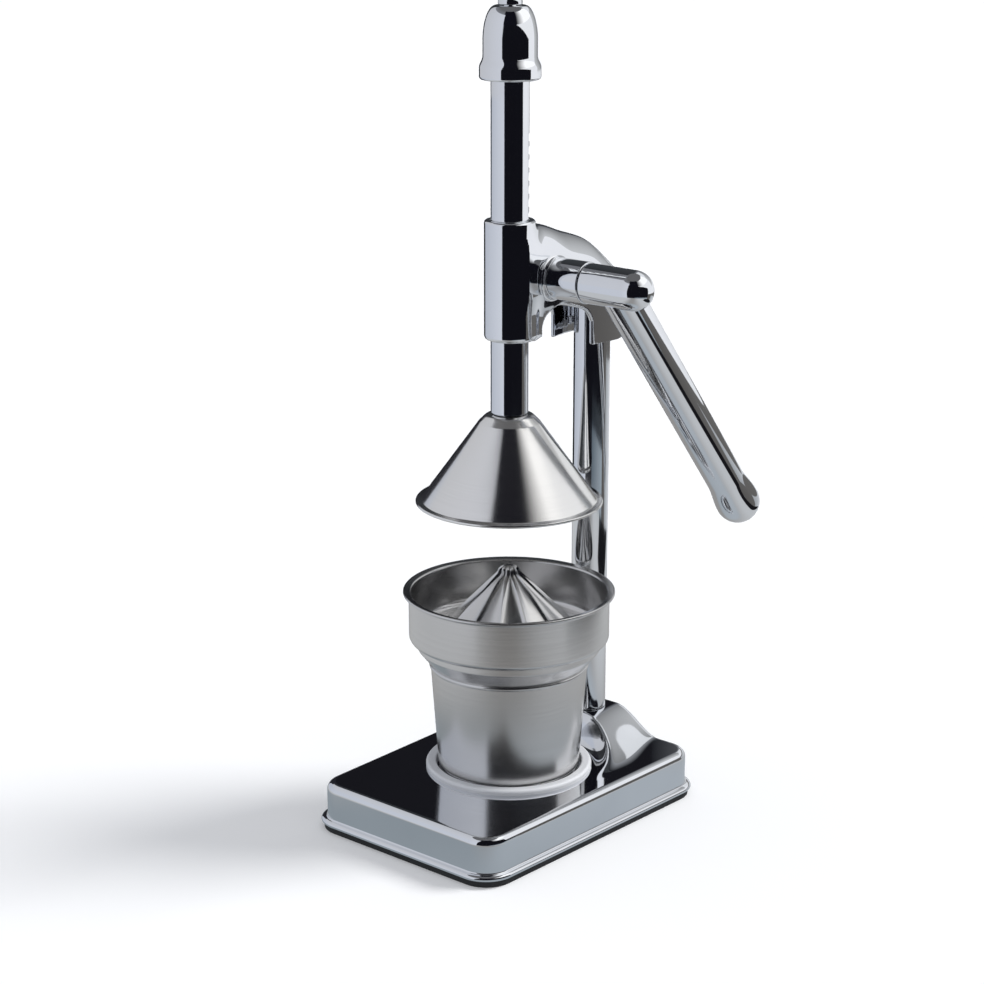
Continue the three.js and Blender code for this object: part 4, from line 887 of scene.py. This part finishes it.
def makeReamer():
    size = reamer
    count = size["ribs"] * size["perRib"]
    angles = np.linspace(0, 2 * math.pi, count, endpoint=False)
    wave = np.sqrt(np.abs(np.sin(size["ribs"] * angles / 2)) + size["sharpness"])
    rings = []

    def ring(radius, height, depth):
        reach = radius - depth * wave
        rings.append(np.column_stack([reach * np.cos(angles), reach * np.sin(angles),
                                      np.full(count, size["bottom"] + height)]))

    ring(size["radius"] - size["footIn"], 0, 0)
    for angle in np.radians(np.linspace(0, 90, 6)):
        ring(size["radius"] - size["edge"] * (1 - math.sin(angle)), size["edge"] * (1 - math.cos(angle)), 0)
    ring(size["radius"], size["foot"] * size["footWall"], 0)
    crown = size["tip"] * size["tipSquash"]
    for t in np.linspace(0, 1, size["levels"]):
        radius = size["radius"] + (size["tip"] - size["radius"]) * t
        deep = min(size["ribDeep"], radius * size["ribShare"])
        ring(radius, size["foot"] + (size["high"] - size["foot"] - crown) * t,
             deep * float(smooth(size["ribStart"] + t * size["ribGrowth"])))
    for angle in np.radians(np.linspace(20, 88, 9)):
        ring(size["tip"] * math.cos(angle), size["high"] - crown + crown * math.sin(angle),
             size["tip"] * size["ribShare"] * math.cos(angle) ** 2)
    return skinnedPiece("ribbedReamer", rings, closeEnds=True, creaseAngle=60)


finished(makeReamer(), "strainer", ["reamer"], cupSteel)
print("cup made")

# pieces that keep the mesh of their solid
for nodeName in ("pad_screw_1", "pad_screw_2", "pad_screw_3", "pad_screw_4", "tie_rod", "tie_washer", "tie_nut",
                 "cone_washer", "cone_screw", "pinion_gear", "pinion_shaft", "gear_key", "hub_set_screw",
                 "reamer_washer", "reamer_screw"):
    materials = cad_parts[nodeName].data.materials
    materials.clear()
    materials.append(plainSteel)

# camera, floor and light
view = {"place": (0.7466, -0.8737, 0.5071), "target": (-0.01128, 0, 0.16609), "lens": 88.83, "sensor": 36,
        "clip": (0.05, 50)}
camera = linked(bpy.data.objects.new("camera", bpy.data.cameras.new("camera")))
camera.data.lens = view["lens"]
camera.data.sensor_width = view["sensor"]
camera.data.clip_start, camera.data.clip_end = view["clip"]
camera.location = view["place"]
camera.rotation_mode = "QUATERNION"
camera.rotation_quaternion = (Vector(view["target"]) - Vector(view["place"])).to_track_quat("-Z", "Y")
bpy.context.scene.camera = camera

# an evenly white floor with a lift for the camera, and the tones of the painted reflection that only the metal sees
floorLook = {
    "size": 12.0, "white": (0.87, 0.87, 0.87), "lift": 0.17,
    "nearLeft": (0.29, 0.33, 0.36), "nearRight": (0.44, 0.48, 0.52), "farMiddle": (0.33, 0.325, 0.32),
    "farSide": (0.58, 0.595, 0.61), "dark": (0.01, 0.01, 0.012),
    "right": (0.76, 0.65, 0), "ahead": (0.65, -0.76, 0), "nearTurn": (-0.1, 0.11), "farTurn": (0.02, 0.26),
    "reach": (0.115, 0.175), "darkRight": (0.34, 0.35), "darkAhead": (0.17, 0.2),
}


def makeFloor():
    size = floorLook
    half = size["size"] / 2 / mm
    corners = [(-half, -half, 0), (half, -half, 0), (half, half, 0), (-half, half, 0)]
    floor = linkedPiece("floor", corners, [[0, 1, 2, 3]])
    material, recipe = newMaterial("whiteFloor")
    isCamera, isGlossy = rayKinds(recipe)
    surface = recipe.add("ShaderNodeBsdfDiffuse", None, {"Color": (*size["white"], 1)})
    glow = recipe.add("ShaderNodeEmission", None, {"Color": (1, 1, 1, 1), "Strength": isCamera * size["lift"]})
    seen = recipe.add("ShaderNodeAddShader", None, {0: surface, 1: glow})
    # what the metal shows of it is a painted reflection of a shaded floor, set by the distance from the stand, to
    # its right and ahead of it: painted shade near the stand, paler further off
    place = objectPlace(recipe)
    along = lambda way: recipe.add("ShaderNodeVectorMath", {"operation": "DOT_PRODUCT"}, {0: place, 1: size[way]},
                                   output=1)
    ranged = lambda value, key: recipe.add("ShaderNodeMapRange", {"interpolation_type": "SMOOTHSTEP"},
                                           {"Value": value, 1: size[key][0], 2: size[key][1]})
    reach = recipe.add("ShaderNodeVectorMath", {"operation": "LENGTH"}, {0: place}, output=1)
    right = along("right")
    aside = recipe.add("ShaderNodeMath", {"operation": "ABSOLUTE"}, {0: right})
    near = blendOf(recipe, ranged(right, "nearTurn"), size["nearLeft"], size["nearRight"])
    far = blendOf(recipe, ranged(aside, "farTurn"), size["farMiddle"], size["farSide"])
    pale = mixOf(recipe, ranged(reach, "reach"), near, far)
    # a painted dark patch in that reflection, to the right of the stand
    paintedDarkShare = ranged(right, "darkRight") * (1 - ranged(along("ahead"), "darkAhead"))
    shown = mixOf(recipe, paintedDarkShare, pale, (*size["dark"], 1))
    paintedReflection = recipe.add("ShaderNodeEmission", None, {"Color": shown, "Strength": 1.0})
    both = recipe.add("ShaderNodeMixShader", None, {0: isGlossy, 1: seen, 2: paintedReflection})
    recipe.add("ShaderNodeOutputMaterial", None, {"Surface": both})
    floor.data.materials.append(material)


makeFloor()

# painted reflections: glowing cards that only the metal sees and that light nothing; angles are measured from the
# camera's side, to the right
cardRing = {"radius": 0.5, "steps": 40}
# the span and the rise of each, its glow (at the left and at the right if it changes) and how its upper ends lean
cards = {
    "leftLow": ((-140, -34), (0.0, 0.3), [(0.52, 0.55, 0.62), (0.7, 0.73, 0.8)]),
    "leftBox": ((-147, -34), (0.3, 0.85), [(0.58, 0.59, 0.62), (0.68, 0.7, 0.76)], (0, 6)),
    "leftFlag": ((-165, -140), (0.0, 0.3), [(0.02, 0.02, 0.025)]),
    "leftDark": ((-192, -147), (0.3, 1.1), [(0.05, 0.055, 0.06), (0.03, 0.032, 0.035)]),
    "frontFoot": ((-34, 10), (0.0, 0.05), [(0.01, 0.01, 0.015), (0.02, 0.022, 0.028)]),
    "frontPale": ((10, 82), (0.0, 0.075), [(0.12, 0.15, 0.18), (0.36, 0.41, 0.45)]),
    "frontFlag": ((-34, 82), (0.05, 0.36), [(0.006, 0.006, 0.009)]),
    "frontHigh": ((-34, 82), (0.36, 0.56), [(0.006, 0.006, 0.009)], (6, -54)),
    "frontTop": ((-34, 30), (0.56, 1.25), [(0.006, 0.006, 0.01)]),
    "topFade": ((30, 66), (0.56, 1.1), [(0.02, 0.02, 0.024), (1.2, 1.2, 1.2)]),
    "rightLow": ((82, 106), (0.0, 0.175), [(0.11, 0.105, 0.1), (0.14, 0.135, 0.13)]),
    "rightEdge": ((82, 106), (0.175, 0.36), [(0.95, 0.96, 0.99)]),
    "rightHigh": ((82, 106), (0.36, 0.56), [(0.95, 0.96, 0.98)], (-54, 0)),
    "rightTop": ((66, 118), (0.56, 1.1), [(1.2, 1.2, 1.2)]),
    "rearFoot": ((106, 158), (0.0, 0.122), [(0.4, 0.42, 0.44), (0.8, 0.82, 0.85)]),
    "rearBand": ((106, 158), (0.122, 0.175), [(0.14, 0.135, 0.13), (0.15, 0.145, 0.14)]),
    "rightBox": ((106, 118), (0.175, 0.56), [(0.95, 0.96, 0.99)]),
    "rearRight": ((118, 158), (0.175, 0.32), [(0.95, 0.96, 0.99), (0.78, 0.8, 0.82)]),
    "rearGrey": ((118, 158), (0.32, 0.62), [(0.64, 0.65, 0.66), (0.25, 0.255, 0.26)]),
    "rearHigh": ((118, 158), (0.62, 1.0), [(0.95, 0.96, 0.99), (0.78, 0.8, 0.82)]),
    "rearFade": ((158, 168), (0.0, 0.9), [(0.3, 0.31, 0.33), (0.015, 0.016, 0.02)]),
    "rearFlag": ((168, 195), (0.0, 0.42), [(0.01, 0.01, 0.013)]),
}


def makeCard(name, span, rise, tones, lean=(0, 0)):
    side = math.degrees(math.atan2(view["place"][1], view["place"][0]))
    reach, steps = cardRing["radius"] / mm, cardRing["steps"]
    vertices = []
    for z, shift in zip(rise, ((0, 0), lean)):
        angles = np.radians(side + np.linspace(span[0] + shift[0], span[1] + shift[1], steps))
        vertices += [(reach * math.cos(a), reach * math.sin(a), z / mm) for a in angles]
    faces = [[i, i + 1, steps + i + 1, steps + i] for i in range(steps - 1)]
    card = linkedPiece(name, vertices, faces)
    tint = card.data.color_attributes.new("tint", "FLOAT_COLOR", "POINT")
    for i in range(len(vertices)):
        share = (i % steps) / (steps - 1)
        tint.data[i].color = [a + (b - a) * share for a, b in zip(tones[0], tones[-1])] + [1]
    # each card glows only in the metal's reflections, as a painted reflection
    material, recipe = newMaterial(name)
    tone = recipe.add("ShaderNodeVertexColor", {"layer_name": "tint"})
    glow = recipe.add("ShaderNodeEmission", None, {"Color": tone, "Strength": 1.0})
    recipe.add("ShaderNodeOutputMaterial", None, {"Surface": glow})
    card.data.materials.append(material)
    card.visible_camera = card.visible_diffuse = card.visible_shadow = card.visible_transmission = False


for cardName, card in cards.items():
    makeCard(cardName, *card)

key = {"from": (0.55, 0.75, 0.9), "energy": 2.2, "softness": 22.0}
lamp = linked(bpy.data.objects.new("key", bpy.data.lights.new("key", "SUN")))
lamp.data.energy, lamp.data.angle = key["energy"], math.radians(key["softness"])
lamp.rotation_mode = "QUATERNION"
lamp.rotation_quaternion = Vector(key["from"]).to_track_quat("Z", "Y")
lamp.visible_glossy = False

# the world lights everything with an even ambient and is white to the camera; for glossy rays it is a painted
# reflection, pale low down and darker overhead
room = {
    "ambient": (0.5, 0.515, 0.55), "low": (0.55, 0.57, 0.6), "middle": (0.25, 0.26, 0.29),
    "high": (0.14, 0.14, 0.145),
    "rises": ((0.0, "low"), (0.30, "middle"), (0.62, "middle"), (0.88, "high"), (1.0, "high")),
}


def makeWorld():
    world = bpy.data.worlds.new("studio")
    bpy.context.scene.world = world
    world.use_nodes = True
    recipe = Recipe(world.node_tree)
    up = partsOf(recipe, recipe.add("ShaderNodeTexCoord", output="Generated"))[2]
    stops = [(rise, room[key]) for rise, key in room["rises"]]
    paintedReflection = recipe.add("ShaderNodeValToRGB", {"stops": stops}, {0: up})
    isCamera, isGlossy = rayKinds(recipe)
    seen = blendOf(recipe, isCamera, room["ambient"], (1, 1, 1))
    plain = recipe.add("ShaderNodeBackground", None, {"Color": seen, "Strength": 1.0})
    mirror = recipe.add("ShaderNodeBackground", None, {"Color": paintedReflection, "Strength": 1.0})
    chosen = recipe.add("ShaderNodeMixShader", None, {0: isGlossy, 1: plain, 2: mirror})
    recipe.add("ShaderNodeOutputWorld", None, {"Surface": chosen})


makeWorld()
bpy.context.scene.view_settings.view_transform = "Standard"
print("scene made")
